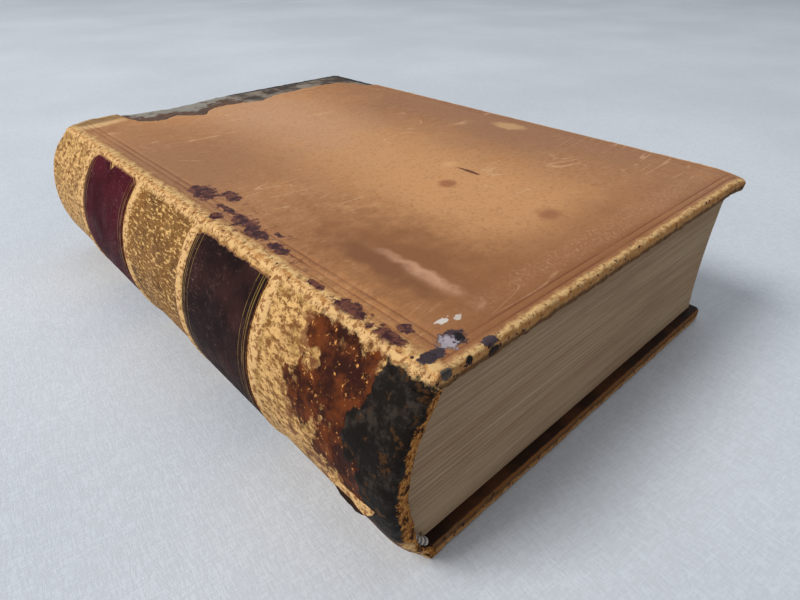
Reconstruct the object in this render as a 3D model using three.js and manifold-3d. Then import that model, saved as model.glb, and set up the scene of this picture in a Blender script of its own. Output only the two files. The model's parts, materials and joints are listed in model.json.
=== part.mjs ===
// A thick old book in a full leather binding, lying on its back cover.
//
// The text block is made of folded gatherings sewn on recessed cords, with a kettle stitch near each end. Its
// back is rounded and its fore edge is slightly hollow. Each cover is a board wrapped in leather, with turn-ins, an infill card and a
// pastedown inside. The leather back carries four low raised bands and two thin leather labels, and is turned
// in over an endband at the head and at the tail. The front leaves and the covers turn on the joint lines.
//
// Units are millimetres. +Z is up, +Y runs from the tail (foot of the page) to the head, and +X runs from the
// spine to the fore edge. The origin is at the bottom centre of the bounding box.

import * as THREE from 'three';
import { mergeVertices } from 'three/addons/utils/BufferGeometryUtils.js';
import Module from 'manifold-3d';

const wasm = await Module();
wasm.setup();

// ---- Driving dimensions ---------------------------------------------------------------------------------

const coverHeight = 240;        // tail edge to head edge of the boards, leather included
const coverWidth = 156;         // joint line to fore edge, leather included
const bookThickness = 61;       // outside of one cover to outside of the other
const spineRound = 13;          // how far the leather back stands out from the joint lines
const shoulderDrop = 0.4;       // the leather back meets the joint this far below the cover's face
const endSquare = 3.8;          // how far the covers overhang the leaves at the head and the tail
const foreEdgeSquare = 4.5;     // the same at the fore edge
const foreEdgeHollow = 3;       // how far the fore edge of the leaves curves in

const coverLeather = 1.0;       // leather on the outside and the edges of a board
const turnInThickness = 0.6;    // pared leather inside a board
const turnInWidth = 16;
const boardThickness = 3.0;
const infillThickness = 0.5;
const pastedownThickness = 0.3;
const pastedownInset = 6;       // the strip of turn-in that shows round the pastedown
const coverCorner = 5;          // corner radius of a cover, in plan
const edgeRounding = 0.9;       // rounding of a cover's long edges

const backLeather = 1.1;        // leather on the spine
const capDepth = 4.2;           // how far the leather reaches in over the endbands
const capThickness = 1.0;
const mullThickness = 0.4;
const hollowThickness = 0.6;
const liningOverhang = 2.5;     // the linings stop this far short of the leaves' head and tail

const bandHeight = 0.8;         // how far a raised band stands out
const bandWidth = 5.4;
const bandsFromTail = [55, 100, 145, 194];
const labelThickness = 0.4;
const labelReach = 28.5;         // half height of a label across the spine
const cordRadius = 0.8;
const cordCount = 5;
const cordInset = 30;           // the outer cords are this far from the leaves' head and tail
const threadRadius = 0.4;
const kettleInset = 12;

const leafThickness = 0.3;      // a free endpaper
const gatheringThickness = 1.3;
const frontGatherings = 3;      // gatherings that turn with the front cover
const backGatherings = 2;       // gatherings that turn with the back cover
const fixedGatherings = 24;     // gatherings that stay in the block

const glueLine = 0.12;          // clearance between layers that lie on each other
const cutGap = 0.3;             // clearance round a curved neighbour
const jointGap = 0.2;           // half the width of the slit at a joint line
const arcSides = 96;            // facets of a full turn of the round back

// ---- Heights and radii that follow from them ------------------------------------------------------------

const halfThickness = bookThickness / 2;
const halfHeight = coverHeight / 2;
const leafHalfHeight = halfHeight - endSquare;
const coverThickness =
  coverLeather + boardThickness + turnInThickness + pastedownThickness + 3 * glueLine;
const leafTop = halfThickness - coverThickness - glueLine;          // heights are from the book's mid plane
const leafRise = leafThickness + glueLine;
const gatheringRise = gatheringThickness + glueLine;
const blockTop = leafTop - leafRise - frontGatherings * gatheringRise;
const blockBottom = -(leafTop - leafRise - backGatherings * gatheringRise);
const leafWidth = coverWidth - foreEdgeSquare;

const halfChord = halfThickness - shoulderDrop;
const backRadius = (halfChord ** 2 + spineRound ** 2) / (2 * spineRound);
const roundCentre = backRadius - spineRound;                        // distance of the round's axis from the joint
const leatherInner = backRadius - backLeather;
const hollowOuter = leatherInner - cutGap / 2;
const hollowInner = hollowOuter - hollowThickness;
const mullOuter = hollowInner - cutGap / 2;
const mullInner = mullOuter - mullThickness;
const textRadius = mullInner - cutGap / 2;
const foreEdgeRadius = (leafTop ** 2 + foreEdgeHollow ** 2) / (2 * foreEdgeHollow);

const endbandRadius = (endSquare - capThickness - glueLine - cutGap) / 2; // fills the room under a cap
const spineExtreme = spineRound + Math.max(bandHeight, labelThickness + cutGap / 3);
const jointX = spineExtreme - (spineExtreme + coverWidth) / 2;      // joint line in the part's own frame

// ---- Solids ---------------------------------------------------------------------------------------------

// A closed geometry as a manifold solid.
function solid(geometry) {
  const bare = geometry.index ? geometry.toNonIndexed() : geometry.clone();
  bare.deleteAttribute('normal');
  bare.deleteAttribute('uv');
  const merged = mergeVertices(bare, 1e-4);
  return new wasm.Manifold(new wasm.Mesh({
    numProp: 3,
    vertProperties: merged.attributes.position.array,
    triVerts: new Uint32Array(merged.index.array),
  }));
}

// A manifold solid as a three.js geometry.
function geometryOf(body) {
  const mesh = body.getMesh();
  const positions = new Float32Array(mesh.numVert * 3);
  for (let i = 0; i < mesh.numVert; i++) {
    positions.set(mesh.vertProperties.subarray(i * mesh.numProp, i * mesh.numProp + 3), i * 3);
  }
  const geometry = new THREE.BufferGeometry();
  geometry.setAttribute('position', new THREE.BufferAttribute(positions, 3));
  geometry.setIndex(new THREE.BufferAttribute(mesh.triVerts, 1));
  return geometry;
}

// A box between two corners.
function block(low, high) {
  const size = high.map((value, axis) => value - low[axis]);
  const geometry = new THREE.BoxGeometry(...size);
  geometry.translate(...low.map((value, axis) => value + size[axis] / 2));
  return geometry;
}

// An outline in X and Z, extruded along Y and centred on it.
function prism(outline, length) {
  const geometry = new THREE.ExtrudeGeometry(new THREE.Shape(outline), { depth: length, bevelEnabled: false });
  geometry.rotateX(Math.PI / 2);
  geometry.translate(0, length / 2, 0);
  return geometry;
}

// A rectangle in X and Y with its two fore-edge corners rounded.
function coverOutline(left, right, halfLength, corner) {
  const shape = new THREE.Shape();
  shape.moveTo(left, -halfLength);
  shape.lineTo(right - corner, -halfLength);
  shape.absarc(right - corner, -halfLength + corner, corner, -Math.PI / 2, 0, false);
  shape.lineTo(right, halfLength - corner);
  shape.absarc(right - corner, halfLength - corner, corner, 0, Math.PI / 2, false);
  shape.lineTo(left, halfLength);
  shape.closePath();
  return shape;
}

// A flat sheet of that outline between two heights.
function sheet(outline, low, high) {
  const geometry = new THREE.ExtrudeGeometry(outline, { depth: high - low, bevelEnabled: false, curveSegments: 6 });
  geometry.translate(0, 0, low);
  return geometry;
}

// A slice of the round back: a profile of [radius, Y] points turned about the round's axis, of which only the
// part behind the joint and within a height of the mid plane is kept.
function roundBack(profile, reach = halfThickness) {
  const points = [...profile, profile[0]].map(([radius, y]) => new THREE.Vector2(radius, y));
  const ring = new THREE.LatheGeometry(points, arcSides);
  ring.translate(roundCentre, 0, 0);
  const behindJoint = block([-spineExtreme - 5, -coverHeight, -reach], [-jointGap, coverHeight, reach]);
  return solid(ring).intersect(solid(behindJoint));
}

// A closed [radius, Y] rectangle, listed so that the ring's faces point out.
function ringSection(inner, outer, low, high) {
  return [[inner, low], [outer, low], [outer, high], [inner, high]];
}

// How far the round back stands out from the joint at a height, for a layer of that radius.
const backX = (radius, z) => roundCentre - Math.sqrt(radius ** 2 - z ** 2);

// Where the leaves' fore edge lies at a height.
const foreEdgeX = (z) =>
  leafWidth - (Math.sqrt(foreEdgeRadius ** 2 - z ** 2) - (foreEdgeRadius - foreEdgeHollow));

// Evenly spaced heights, both ends included.
const steps = (from, to, count) =>
  Array.from({ length: count + 1 }, (_, i) => from + ((to - from) * i) / count);

// ---- Materials ------------------------------------------------------------------------------------------

const finish = (color, roughness, metalness = 0) =>
  new THREE.MeshStandardMaterial({ color, roughness, metalness });

const tanLeather = finish(0xa8743f, 0.62);
const spineLeather = finish(0xb98f55, 0.6);
const redLeather = finish(0x3d1420, 0.45);
const blackLeather = finish(0x241a1a, 0.45);
const paper = finish(0xc8bda4, 0.9);
const endpaper = finish(0xcdbd98, 0.9);
const millboard = finish(0x8d7a5c, 0.95);
const linen = finish(0xb9a888, 0.95);
const cordFibre = finish(0xc4b184, 0.9);

// ---- Assembly -------------------------------------------------------------------------------------------

const book = new THREE.Group();
book.position.set(jointX, 0, halfThickness);

function add(name, geometry, material, parent = book) {
  const mesh = new THREE.Mesh(geometry, material);
  mesh.name = name;
  parent.add(mesh);
  return mesh;
}

// One cover, built as the front one, with its outer face at the top of the book.
function coverSolids() {
  const top = halfThickness;
  const boardTop = top - coverLeather - glueLine;
  const boardBottom = boardTop - boardThickness;
  const turnInTop = boardBottom - glueLine;
  const turnInBottom = turnInTop - turnInThickness;
  const pastedownTop = turnInBottom - glueLine;
  const boardEdge = coverLeather + glueLine;
  const boardCorner = coverCorner - boardEdge;

  // The bevel adds its own size to the outline, so the outline starts that much smaller.
  const r = edgeRounding;
  const skinOutline = coverOutline(-coverCorner, coverWidth - r, halfHeight - r, coverCorner - r);
  const wholeSkin = new THREE.ExtrudeGeometry(skinOutline, {
    depth: top - turnInBottom - 2 * r, bevelThickness: r, bevelSize: r, bevelSegments: 3, curveSegments: 6,
  });
  wholeSkin.translate(0, 0, turnInBottom + r);
  const boardPocket = sheet(
    coverOutline(-2 * coverCorner, coverWidth - coverLeather, halfHeight - coverLeather, coverCorner - coverLeather),
    turnInTop, boardTop + glueLine);
  const infillWindow = block(
    [-2 * coverCorner, -halfHeight + turnInWidth, turnInBottom - 1],
    [coverWidth - turnInWidth, halfHeight - turnInWidth, turnInTop + glueLine]);
  const pastJoint = block([-3 * coverCorner, -coverHeight, -top], [jointGap, coverHeight, 2 * top]);
  const skin = solid(wholeSkin).subtract(solid(boardPocket)).subtract(solid(infillWindow))
    .subtract(solid(pastJoint));

  return {
    board: sheet(
      coverOutline(jointGap, coverWidth - boardEdge, halfHeight - boardEdge, boardCorner), boardBottom, boardTop),
    leather: geometryOf(skin),
    infill: block(
      [jointGap, -halfHeight + turnInWidth + glueLine, turnInTop - infillThickness],
      [coverWidth - turnInWidth - glueLine, halfHeight - turnInWidth - glueLine, turnInTop]),
    pastedown: sheet(
      coverOutline(jointGap, coverWidth - pastedownInset, halfHeight - pastedownInset, 0.5),
      pastedownTop - pastedownThickness, pastedownTop),
  };
}

// The back cover is the front one turned over about X, which keeps its joint on the same line.
function addCover(side) {
  const cover = new THREE.Group();
  if (side === 'back') cover.rotation.x = Math.PI;
  book.add(cover);
  const solids = coverSolids();
  add(`${side}_board`, solids.board, millboard, cover);
  add(`${side}_cover_leather`, solids.leather, tanLeather, cover);
  add(`${side}_board_infill`, solids.infill, millboard, cover);
  add(`${side}_pastedown`, solids.pastedown, endpaper, cover);
}

// A loose leaf or gathering between two heights. Its spine edge is at the joint line.
function looseLeaves(low, high) {
  const outline = [new THREE.Vector2(jointGap, low)];
  for (const z of steps(low, high, 2)) outline.push(new THREE.Vector2(foreEdgeX(z), z));
  outline.push(new THREE.Vector2(jointGap, high));
  return prism(outline, 2 * leafHalfHeight);
}

// The free endpaper and the gatherings of one side that turn, from the cover inwards.
function addLooseLeaves(side, count) {
  const direction = side === 'front' ? 1 : -1;
  const between = (outer, inner) => looseLeaves(
    Math.min(direction * outer, direction * inner), Math.max(direction * outer, direction * inner));
  add(`${side}_free_endpaper`, between(leafTop, leafTop - leafThickness), endpaper);
  for (let i = 0; i < count; i++) {
    const outer = leafTop - leafRise - i * gatheringRise;
    add(`${side}_gathering_${i + 1}`, between(outer, outer - gatheringThickness), paper);
  }
}

// Where the cords and the kettle stitches cross the back, as Y positions.
const cordPositions = steps(-leafHalfHeight + cordInset, leafHalfHeight - cordInset, cordCount - 1);
const kettlePositions = [-leafHalfHeight + kettleInset, leafHalfHeight - kettleInset];

// A ring round the back's axis that cuts one saw kerf, open to the outside of the block.
function kerf(y, radius) {
  const cut = radius + cutGap;
  const section = ringSection(textRadius - 2 * cut, textRadius + cut, y - cut, y + cut);
  const ring = new THREE.LatheGeometry(
    [...section, section[0]].map(([at, height]) => new THREE.Vector2(at, height)), arcSides);
  ring.translate(roundCentre, 0, 0);
  return solid(ring);
}

// All the kerfs in the back of the block.
function kerfs() {
  const rings = [
    ...cordPositions.map((y) => kerf(y, cordRadius)),
    ...kettlePositions.map((y) => kerf(y, threadRadius)),
  ];
  const backHalf = block(
    [-spineExtreme - 5, -coverHeight, -halfThickness], [roundCentre, coverHeight, halfThickness]);
  return rings.reduce((joined, ring) => joined.add(ring)).intersect(solid(backHalf));
}

// The gatherings that stay in the block, from the top down, each with the kerfs in its back.
function addFixedGatherings() {
  const cuts = kerfs();
  const pitch = (blockTop - blockBottom) / fixedGatherings;
  for (let i = 0; i < fixedGatherings; i++) {
    const high = blockTop - glueLine / 2 - i * pitch;
    const low = high - pitch + glueLine;
    const outline = [
      ...steps(high, low, 2).map((z) => new THREE.Vector2(backX(textRadius, z), z)),
      ...steps(low, high, 2).map((z) => new THREE.Vector2(foreEdgeX(z), z)),
    ];
    const gathering = solid(prism(outline, 2 * leafHalfHeight)).subtract(cuts);
    add(`gathering_${String(frontGatherings + 1 + i).padStart(2, '0')}`, geometryOf(gathering), paper);
  }
}

// The backed folds beside a joint: the spine part of the gatherings that turn, between the block's last fixed
// gathering and the slope of the back. The cover's board butts against them.
function addShoulder(side, blockEnd) {
  const direction = side === 'front' ? 1 : -1;
  const base = Math.abs(blockEnd) + glueLine / 2;
  const peak = Math.sqrt(textRadius ** 2 - (roundCentre + jointGap) ** 2);
  const outline = [
    new THREE.Vector2(-jointGap, direction * base),
    ...steps(peak, base, 4).map((z) => new THREE.Vector2(backX(textRadius, z), direction * z)),
  ];
  add(`${side}_shoulder_folds`, prism(outline, 2 * leafHalfHeight), paper);
}

// Everything on the back of the block, from the cords out to the labels.
function addBack() {
  const liningHalf = leafHalfHeight - liningOverhang;
  const liningReach = Math.sqrt(mullOuter ** 2 - (roundCentre + jointGap) ** 2) - cutGap;
  const circle = (radius, y, size) => Array.from({ length: 8 }, (_, i) => {
    const angle = (i / 8) * 2 * Math.PI;
    return [radius + size * Math.cos(angle), y + size * Math.sin(angle)];
  });

  const sewnAcross = (y, radius) => geometryOf(
    roundBack(circle(textRadius - radius - cutGap, y, radius), blockTop - cutGap));
  cordPositions.forEach((y, i) => add(`sewing_cord_${i + 1}`, sewnAcross(y, cordRadius), cordFibre));
  add('tail_kettle_stitch', sewnAcross(kettlePositions[0], threadRadius), cordFibre);
  add('head_kettle_stitch', sewnAcross(kettlePositions[1], threadRadius), cordFibre);
  add('spine_mull', geometryOf(
    roundBack(ringSection(mullInner, mullOuter, -liningHalf, liningHalf), liningReach)), linen);
  add('hollow_back', geometryOf(
    roundBack(ringSection(hollowInner, hollowOuter, -liningHalf, liningHalf), liningReach)), millboard);

  const endbandY = leafHalfHeight + glueLine + endbandRadius;
  for (const [name, y] of [['head_endband', endbandY], ['tail_endband', -endbandY]]) {
    const band = roundBack(circle(textRadius - endbandRadius, y, endbandRadius), liningReach - endbandRadius);
    add(name, geometryOf(band), linen);
  }

  const bandCentres = bandsFromTail.map((fromTail) => fromTail - halfHeight);
  const coreHalf = bandWidth / 2 - backLeather;
  bandCentres.forEach((y, i) => {
    const core = roundBack(
      ringSection(leatherInner, leatherInner + bandHeight - cutGap / 2, y - coreHalf, y + coreHalf),
      liningReach);
    add(`raised_band_${i + 1}`, geometryOf(core), cordFibre);
  });

  // The leather's section: out along the bands from tail to head, and back inside over their cores and caps.
  const lip = backRadius - capDepth;
  const outside = bandCentres.flatMap((y) => [
    [backRadius, y - bandWidth / 2],
    [backRadius + bandHeight * 0.75, y - bandWidth / 3],
    [backRadius + bandHeight, y],
    [backRadius + bandHeight * 0.75, y + bandWidth / 3],
    [backRadius, y + bandWidth / 2],
  ]);
  const room = coreHalf + cutGap / 2;
  const inside = [...bandCentres].reverse().flatMap((y) => [
    [leatherInner - cutGap / 4, y + room],
    [leatherInner + bandHeight, y + room],
    [leatherInner + bandHeight, y - room],
    [leatherInner - cutGap / 4, y - room],
  ]);
  const capInside = halfHeight - capThickness;
  add('spine_leather', geometryOf(roundBack([
    [lip, -halfHeight], [backRadius - edgeRounding, -halfHeight], [backRadius, -halfHeight + edgeRounding],
    ...outside,
    [backRadius, halfHeight - edgeRounding], [backRadius - edgeRounding, halfHeight], [lip, halfHeight],
    [lip, capInside], [leatherInner - cutGap / 4, capInside],
    ...inside,
    [leatherInner - cutGap / 4, -capInside], [lip, -capInside],
  ])), spineLeather);

  // Each label fills the panel between two bands.
  const labelInner = backRadius + cutGap / 3;
  const addLabel = (name, below, above, material) => {
    const low = bandCentres[below] + bandWidth / 2 + glueLine;
    const high = bandCentres[above] - bandWidth / 2 - glueLine;
    const label = roundBack(ringSection(labelInner, labelInner + labelThickness, low, high), labelReach);
    add(name, geometryOf(label), material);
  };
  addLabel('lower_label', 0, 1, blackLeather);
  addLabel('upper_label', 2, 3, redLeather);
}

addCover('front');
addCover('back');
addLooseLeaves('front', frontGatherings);
addLooseLeaves('back', backGatherings);
addFixedGatherings();
addShoulder('front', blockTop);
addShoulder('back', blockBottom);
addBack();

export default book;
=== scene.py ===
# %% [markdown]
# # A thick old book in full leather
#
# The book lies on its back cover. Its leather is scuffed and stained, its edges are worn to suede, and
# two thin leather labels cross its rounded back between low raised bands. This script dresses the packed
# model: it loads it as a fixed frame, makes each visible piece again with its real wear, gives everything
# a material, and sets the floor, the lights and the camera.

# %% Load the frame
import json
import math

import bmesh
import bpy
from mathutils import Matrix, Vector, noise
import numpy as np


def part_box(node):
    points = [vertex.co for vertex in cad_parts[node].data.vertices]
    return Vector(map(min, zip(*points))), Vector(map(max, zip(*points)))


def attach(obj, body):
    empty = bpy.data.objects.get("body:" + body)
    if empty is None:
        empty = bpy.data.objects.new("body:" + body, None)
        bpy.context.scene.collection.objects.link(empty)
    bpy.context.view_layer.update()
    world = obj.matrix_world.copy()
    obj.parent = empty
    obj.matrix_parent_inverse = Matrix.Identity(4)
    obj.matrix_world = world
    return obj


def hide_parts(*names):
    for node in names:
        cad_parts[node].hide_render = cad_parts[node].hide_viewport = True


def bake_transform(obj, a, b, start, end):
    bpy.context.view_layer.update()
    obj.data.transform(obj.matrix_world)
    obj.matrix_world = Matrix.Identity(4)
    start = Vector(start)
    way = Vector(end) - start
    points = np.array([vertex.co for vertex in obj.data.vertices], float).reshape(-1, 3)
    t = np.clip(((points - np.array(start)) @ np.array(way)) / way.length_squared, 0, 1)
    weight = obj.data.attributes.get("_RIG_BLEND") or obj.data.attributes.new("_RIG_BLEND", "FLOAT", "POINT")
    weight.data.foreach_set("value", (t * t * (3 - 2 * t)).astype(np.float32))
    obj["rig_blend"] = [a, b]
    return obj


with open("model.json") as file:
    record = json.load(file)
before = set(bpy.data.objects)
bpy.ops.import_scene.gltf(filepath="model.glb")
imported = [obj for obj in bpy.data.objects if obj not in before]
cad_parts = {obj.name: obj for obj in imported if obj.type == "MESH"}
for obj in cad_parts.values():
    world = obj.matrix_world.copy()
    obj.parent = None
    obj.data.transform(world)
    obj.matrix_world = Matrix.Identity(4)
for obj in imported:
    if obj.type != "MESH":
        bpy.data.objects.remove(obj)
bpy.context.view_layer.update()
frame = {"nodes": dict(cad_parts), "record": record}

# %% [markdown]
# ## Places on the book
#
# Binders measure from the joint, the tail edge and the table, so the script does too. `at` turns such a
# place, in millimetres, into a point in the frame. The back is part of a cylinder, whose radius follows
# from how high and how deep its arc is.

# %% Measure the frame
mm = 0.001
cover_low, cover_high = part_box("front_cover_leather")
spine_low, spine_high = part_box("spine_leather")
joint_x = (cover_low.x + spine_high.x) / 2
tail_y = cover_low.y
book_height = (cover_high.y - cover_low.y) / mm
book_width = (cover_high.x - joint_x) / mm
book_top = cover_high.z / mm

band_height = 0.8
band_width = 5.4
band_centres = [
    (sum(corner.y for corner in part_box(f"raised_band_{i}")) / 2 - tail_y) / mm for i in range(1, 5)
]
shoulder_drop = 0.4
back_sagitta = (joint_x - spine_low.x) / mm - band_height
half_chord = book_top / 2 - shoulder_drop
back_radius = (half_chord**2 + back_sagitta**2) / (2 * back_sagitta)
back_centre = back_radius - back_sagitta
back_angle = math.asin(half_chord / back_radius)


def at(x, y, z):
    """The point x from the joint, y from the tail edge and z above the table, in millimetres."""
    return Vector((joint_x + x * mm, tail_y + y * mm, z * mm))


def on_back(angle, y, out=0.0):
    """The point on the round back at an angle above mid height, raised by out millimetres."""
    radius = back_radius + out
    return at(back_centre - radius * math.cos(angle), y, book_top / 2 + radius * math.sin(angle))


print(f"boards {book_width:.1f} x {book_height:.1f} mm, {book_top:.1f} thick, back radius {back_radius:.1f}")

# %% [markdown]
# ## A recipe book for materials
#
# Every material here is a tree of nodes. `Recipe` adds them in the order that a reader would say them,
# and an input takes either a number or another node's output. Effects that several finishes share, such
# as grain, stains and worn edges, become node groups: each is built once and placed with its own values.


# %% The recipe helper
class Recipe:
    """Adds nodes to a node tree, and links them as it goes."""

    def __init__(self, tree):
        self.tree = tree

    def feed(self, socket, value):
        if isinstance(value, bpy.types.NodeSocket):
            self.tree.links.new(value, socket)
        elif value is not None:
            socket.default_value = value

    def node(self, kind, inputs=(), **settings):
        made = self.tree.nodes.new(kind)
        for name, value in settings.items():
            setattr(made, name, value)
        for name, value in dict(inputs).items():
            self.feed(made.inputs[name], value)
        return made

    def coordinates(self):
        return self.node("ShaderNodeTexCoord").outputs["Object"]

    def attribute(self, name, output="Fac"):
        return self.node("ShaderNodeAttribute", attribute_name=name).outputs[output]

    def rest(self):
        """Where the surface was while the book was closed. Only on pieces that store it."""
        return self.attribute("rest", "Vector")

    def math(self, operation, a, b=None, c=None):
        return self.node("ShaderNodeMath", {0: a, 1: b, 2: c}, operation=operation).outputs[0]

    def between(self, value, low, high, to_low=0.0, to_high=1.0):
        inputs = {"Value": value, "From Min": low, "From Max": high, "To Min": to_low, "To Max": to_high}
        return self.node("ShaderNodeMapRange", inputs, interpolation_type="SMOOTHSTEP").outputs[0]

    def noise(self, vector, scale, detail=4.0, roughness=0.5, distortion=0.0):
        inputs = {"Vector": vector, "Scale": scale, "Detail": detail, "Roughness": roughness,
                  "Distortion": distortion}
        return self.node("ShaderNodeTexNoise", inputs).outputs[0]

    def cells(self, vector, scale, feature="F1", output="Distance"):
        inputs = {"Vector": vector, "Scale": scale}
        return self.node("ShaderNodeTexVoronoi", inputs, feature=feature).outputs[output]

    def stretch(self, vector, scale=(1, 1, 1), turn=(0, 0, 0)):
        inputs = {"Vector": vector, "Scale": scale, "Rotation": turn}
        return self.node("ShaderNodeMapping", inputs).outputs[0]

    def blend(self, share, under, over):
        made = self.tree.nodes.new("ShaderNodeMix")
        made.data_type = "RGBA"
        for name, kind, value in (("Factor", "VALUE", share), ("A", "RGBA", under), ("B", "RGBA", over)):
            self.feed(next(s for s in made.inputs if (s.name, s.type) == (name, kind)), value)
        return next(s for s in made.outputs if s.type == "RGBA")

    def times(self, value, *others):
        for other in others:
            value = self.math("MULTIPLY", value, other)
        return value

    def lay(self, under, over, *shares):
        """Lays a colour over another where all the masks agree. A plain number weakens it everywhere."""
        return self.blend(self.times(*shares), under, over)

    def waver(self, value, pattern, amount):
        """Moves a value up and down by a noise, which makes an edge that depends on it ragged."""
        return self.math("ADD", value, self.times(self.math("SUBTRACT", pattern, 0.5), amount))

    def axis(self, vector, name):
        return self.node("ShaderNodeSeparateXYZ", {"Vector": vector}).outputs[name]

    def mix(self, share, under, over):
        """The same for plain values."""
        return self.math("ADD", under, self.times(share, self.math("SUBTRACT", over, under)))

    def bump(self, height, strength, distance):
        inputs = {"Height": height, "Strength": strength, "Distance": distance}
        return self.node("ShaderNodeBump", inputs).outputs[0]


# %% [markdown]
# ### Colours, groups and materials
#
# A colour is written as on a paint chart and turned into linear light. `group` makes a node group with named
# sockets and `use` places it. `material` feeds a Principled shader, and sets the numbers that never vary on
# the shader's own sockets.


# %% Colours, groups and materials
def rgb(red, green, blue):
    """A linear colour from the red, green and blue of a paint chart, 0 to 255."""
    return tuple(((c / 255 + 0.055) / 1.055) ** 2.4 for c in (red, green, blue)) + (1.0,)


def group(name, inputs, outputs, build):
    """A node group: inputs and outputs are {name: kind}, or {name: (kind, default)}."""
    tree = bpy.data.node_groups.new(name, "ShaderNodeTree")
    for side, sockets in (("INPUT", inputs), ("OUTPUT", outputs)):
        for socket_name, kind in sockets.items():
            kind, default = kind if isinstance(kind, tuple) else (kind, None)
            made = tree.interface.new_socket(socket_name, in_out=side, socket_type="NodeSocket" + kind)
            if default is not None:
                made.default_value = default
    recipe = Recipe(tree)
    source = tree.nodes.new("NodeGroupInput")
    results = build(recipe, source.outputs)
    sink = tree.nodes.new("NodeGroupOutput")
    for socket_name, value in results.items():
        recipe.feed(sink.inputs[socket_name], value)
    return tree


def use(recipe, tree, **inputs):
    """Places a node group and returns its outputs."""
    made = recipe.tree.nodes.new("ShaderNodeGroup")
    made.node_tree = tree
    for name, value in inputs.items():
        recipe.feed(made.inputs[name.replace("_", " ")], value)
    return made.outputs


def material(name, build, **plain):
    """A material whose Principled shader is fed by build(recipe). Plain numbers go on its own sockets."""
    made = bpy.data.materials.new(name)
    made.use_nodes = True
    tree = made.node_tree
    shader = tree.nodes["Principled BSDF"]
    recipe = Recipe(tree)
    for socket, value in plain.items():
        shader.inputs[socket.replace("_", " ")].default_value = value
    for socket, value in build(recipe).items():
        recipe.feed(shader.inputs[socket], value)
    return made


# %% [markdown]
# ## Shared effects
#
# *Grain* is what skin looks like close to: small cells with creases between them, over slower hills.
# *Stain* marks a soft-edged island at a place on the book, whose outline noise makes ragged. *Worn* turns
# the painted nearness to an edge into a ragged mask, because a real edge rubs away in nibbles and not in
# a straight line. *Scratches* are the contour lines of a stretched noise, so they are thin, long and
# curved, and a second noise breaks them.


# %% Node groups for grain, stains, wear and scratches
def build_grain(r, given):
    cells = r.cells(given["Vector"], given["Scale"], "SMOOTH_F1")
    fine = r.noise(given["Vector"], r.times(given["Scale"], 2.3), 3.0, 0.6)
    slow = r.noise(given["Vector"], r.times(given["Scale"], 0.13), 4.0, 0.55)
    height = r.math("ADD", r.times(cells, 0.6), r.times(fine, 0.5))
    return {"Height": r.math("ADD", height, slow), "Slow": slow, "Fine": fine}


def build_stain(r, given):
    offset = r.node("ShaderNodeVectorMath", {0: given["Vector"], 1: given["Centre"]}, operation="SUBTRACT")
    shape = r.node("ShaderNodeVectorMath", {0: offset.outputs[0], 1: given["Size"]}, operation="DIVIDE")
    distance = r.node("ShaderNodeVectorMath", {0: shape.outputs[0]}, operation="LENGTH").outputs["Value"]
    edge = r.waver(distance, r.noise(given["Vector"], given["Detail"], 5.0, 0.6), given["Ragged"])
    high = r.math("ADD", 1.0, given["Softness"])
    low = r.math("SUBTRACT", 1.0, given["Softness"])
    return {"Mask": r.between(edge, high, low)}


def build_worn(r, given):
    nibbles = r.noise(given["Vector"], given["Detail"], 6.0, 0.65)
    value = r.waver(given["Nearness"], nibbles, given["Ragged"])
    low = r.math("SUBTRACT", given["Limit"], given["Softness"])
    high = r.math("ADD", given["Limit"], given["Softness"])
    return {"Mask": r.between(value, low, high)}


def build_scratches(r, given):
    lines = []
    for turn in (0.55, -0.4):
        along = r.stretch(given["Vector"], (1.0, 5.0, 5.0), (0.0, 0.0, turn))
        bent = r.noise(along, given["Scale"], 1.0, 0.3, 0.9)
        lines.append(r.math("ABSOLUTE", r.math("SUBTRACT", bent, 0.5)))
    nearest = r.math("MINIMUM", lines[0], lines[1])
    broken = r.between(r.noise(given["Vector"], 42.0, 4.0, 0.6), 0.53, 0.64)
    thin = r.times(given["Width"], 0.3)
    return {"Mask": r.times(r.between(nearest, given["Width"], thin), broken)}


grain = group("grain", {"Vector": "Vector", "Scale": ("Float", 900.0)},
              {"Height": "Float", "Slow": "Float", "Fine": "Float"}, build_grain)
stain = group("stain", {"Vector": "Vector", "Centre": "Vector", "Size": "Vector",
                        "Detail": ("Float", 150.0), "Ragged": ("Float", 1.2), "Softness": ("Float", 0.08)},
              {"Mask": "Float"}, build_stain)
worn = group("worn", {"Vector": "Vector", "Nearness": ("Float", 0.0), "Limit": ("Float", 0.5),
                      "Detail": ("Float", 300.0), "Ragged": ("Float", 0.6), "Softness": ("Float", 0.05)},
             {"Mask": "Float"}, build_worn)
scratches = group("scratches", {"Vector": "Vector", "Scale": ("Float", 30.0), "Width": ("Float", 0.006)},
                  {"Mask": "Float"}, build_scratches)
print("node groups:", [g.name for g in bpy.data.node_groups])

# %% [markdown]
# ## Leather
#
# Calf and sheep are smooth and warm where the grain layer is whole. Where it is rubbed away the pale, fuzzy
# inner skin shows, and dirt and old dye leave dark islands. The covers' leather is laid up as it aged, one
# layer over another: the skin, its stains, the tooled lines, the worn edges, the blots, and the dirt on top.
# The lower part of each edge is also darkened with painted shade, which holds some dirt too. It could be one
# flat brown with a bump, but then nothing would say how the book was handled.

# %% The leather materials
SUEDE = rgb(222, 184, 126)
SUEDE_DEEP = rgb(176, 116, 56)
DIRT = rgb(60, 38, 36)
# The dark brown of the lower part of the covers' edges: painted shade, with some dirt in it.
UNDERSIDE_SHADE_AND_DIRT = rgb(70, 44, 24)


def place(x, y, z=book_top):
    return tuple(at(x, y, z))


def patch(r, vector, centre, size, ragged, softness, detail=150.0):
    """The mask of one stain, with its size in millimetres."""
    return use(r, stain, Vector=vector, Centre=tuple(centre), Size=tuple(s * mm for s in size), Detail=detail,
               Ragged=ragged, Softness=softness)["Mask"]


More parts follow.
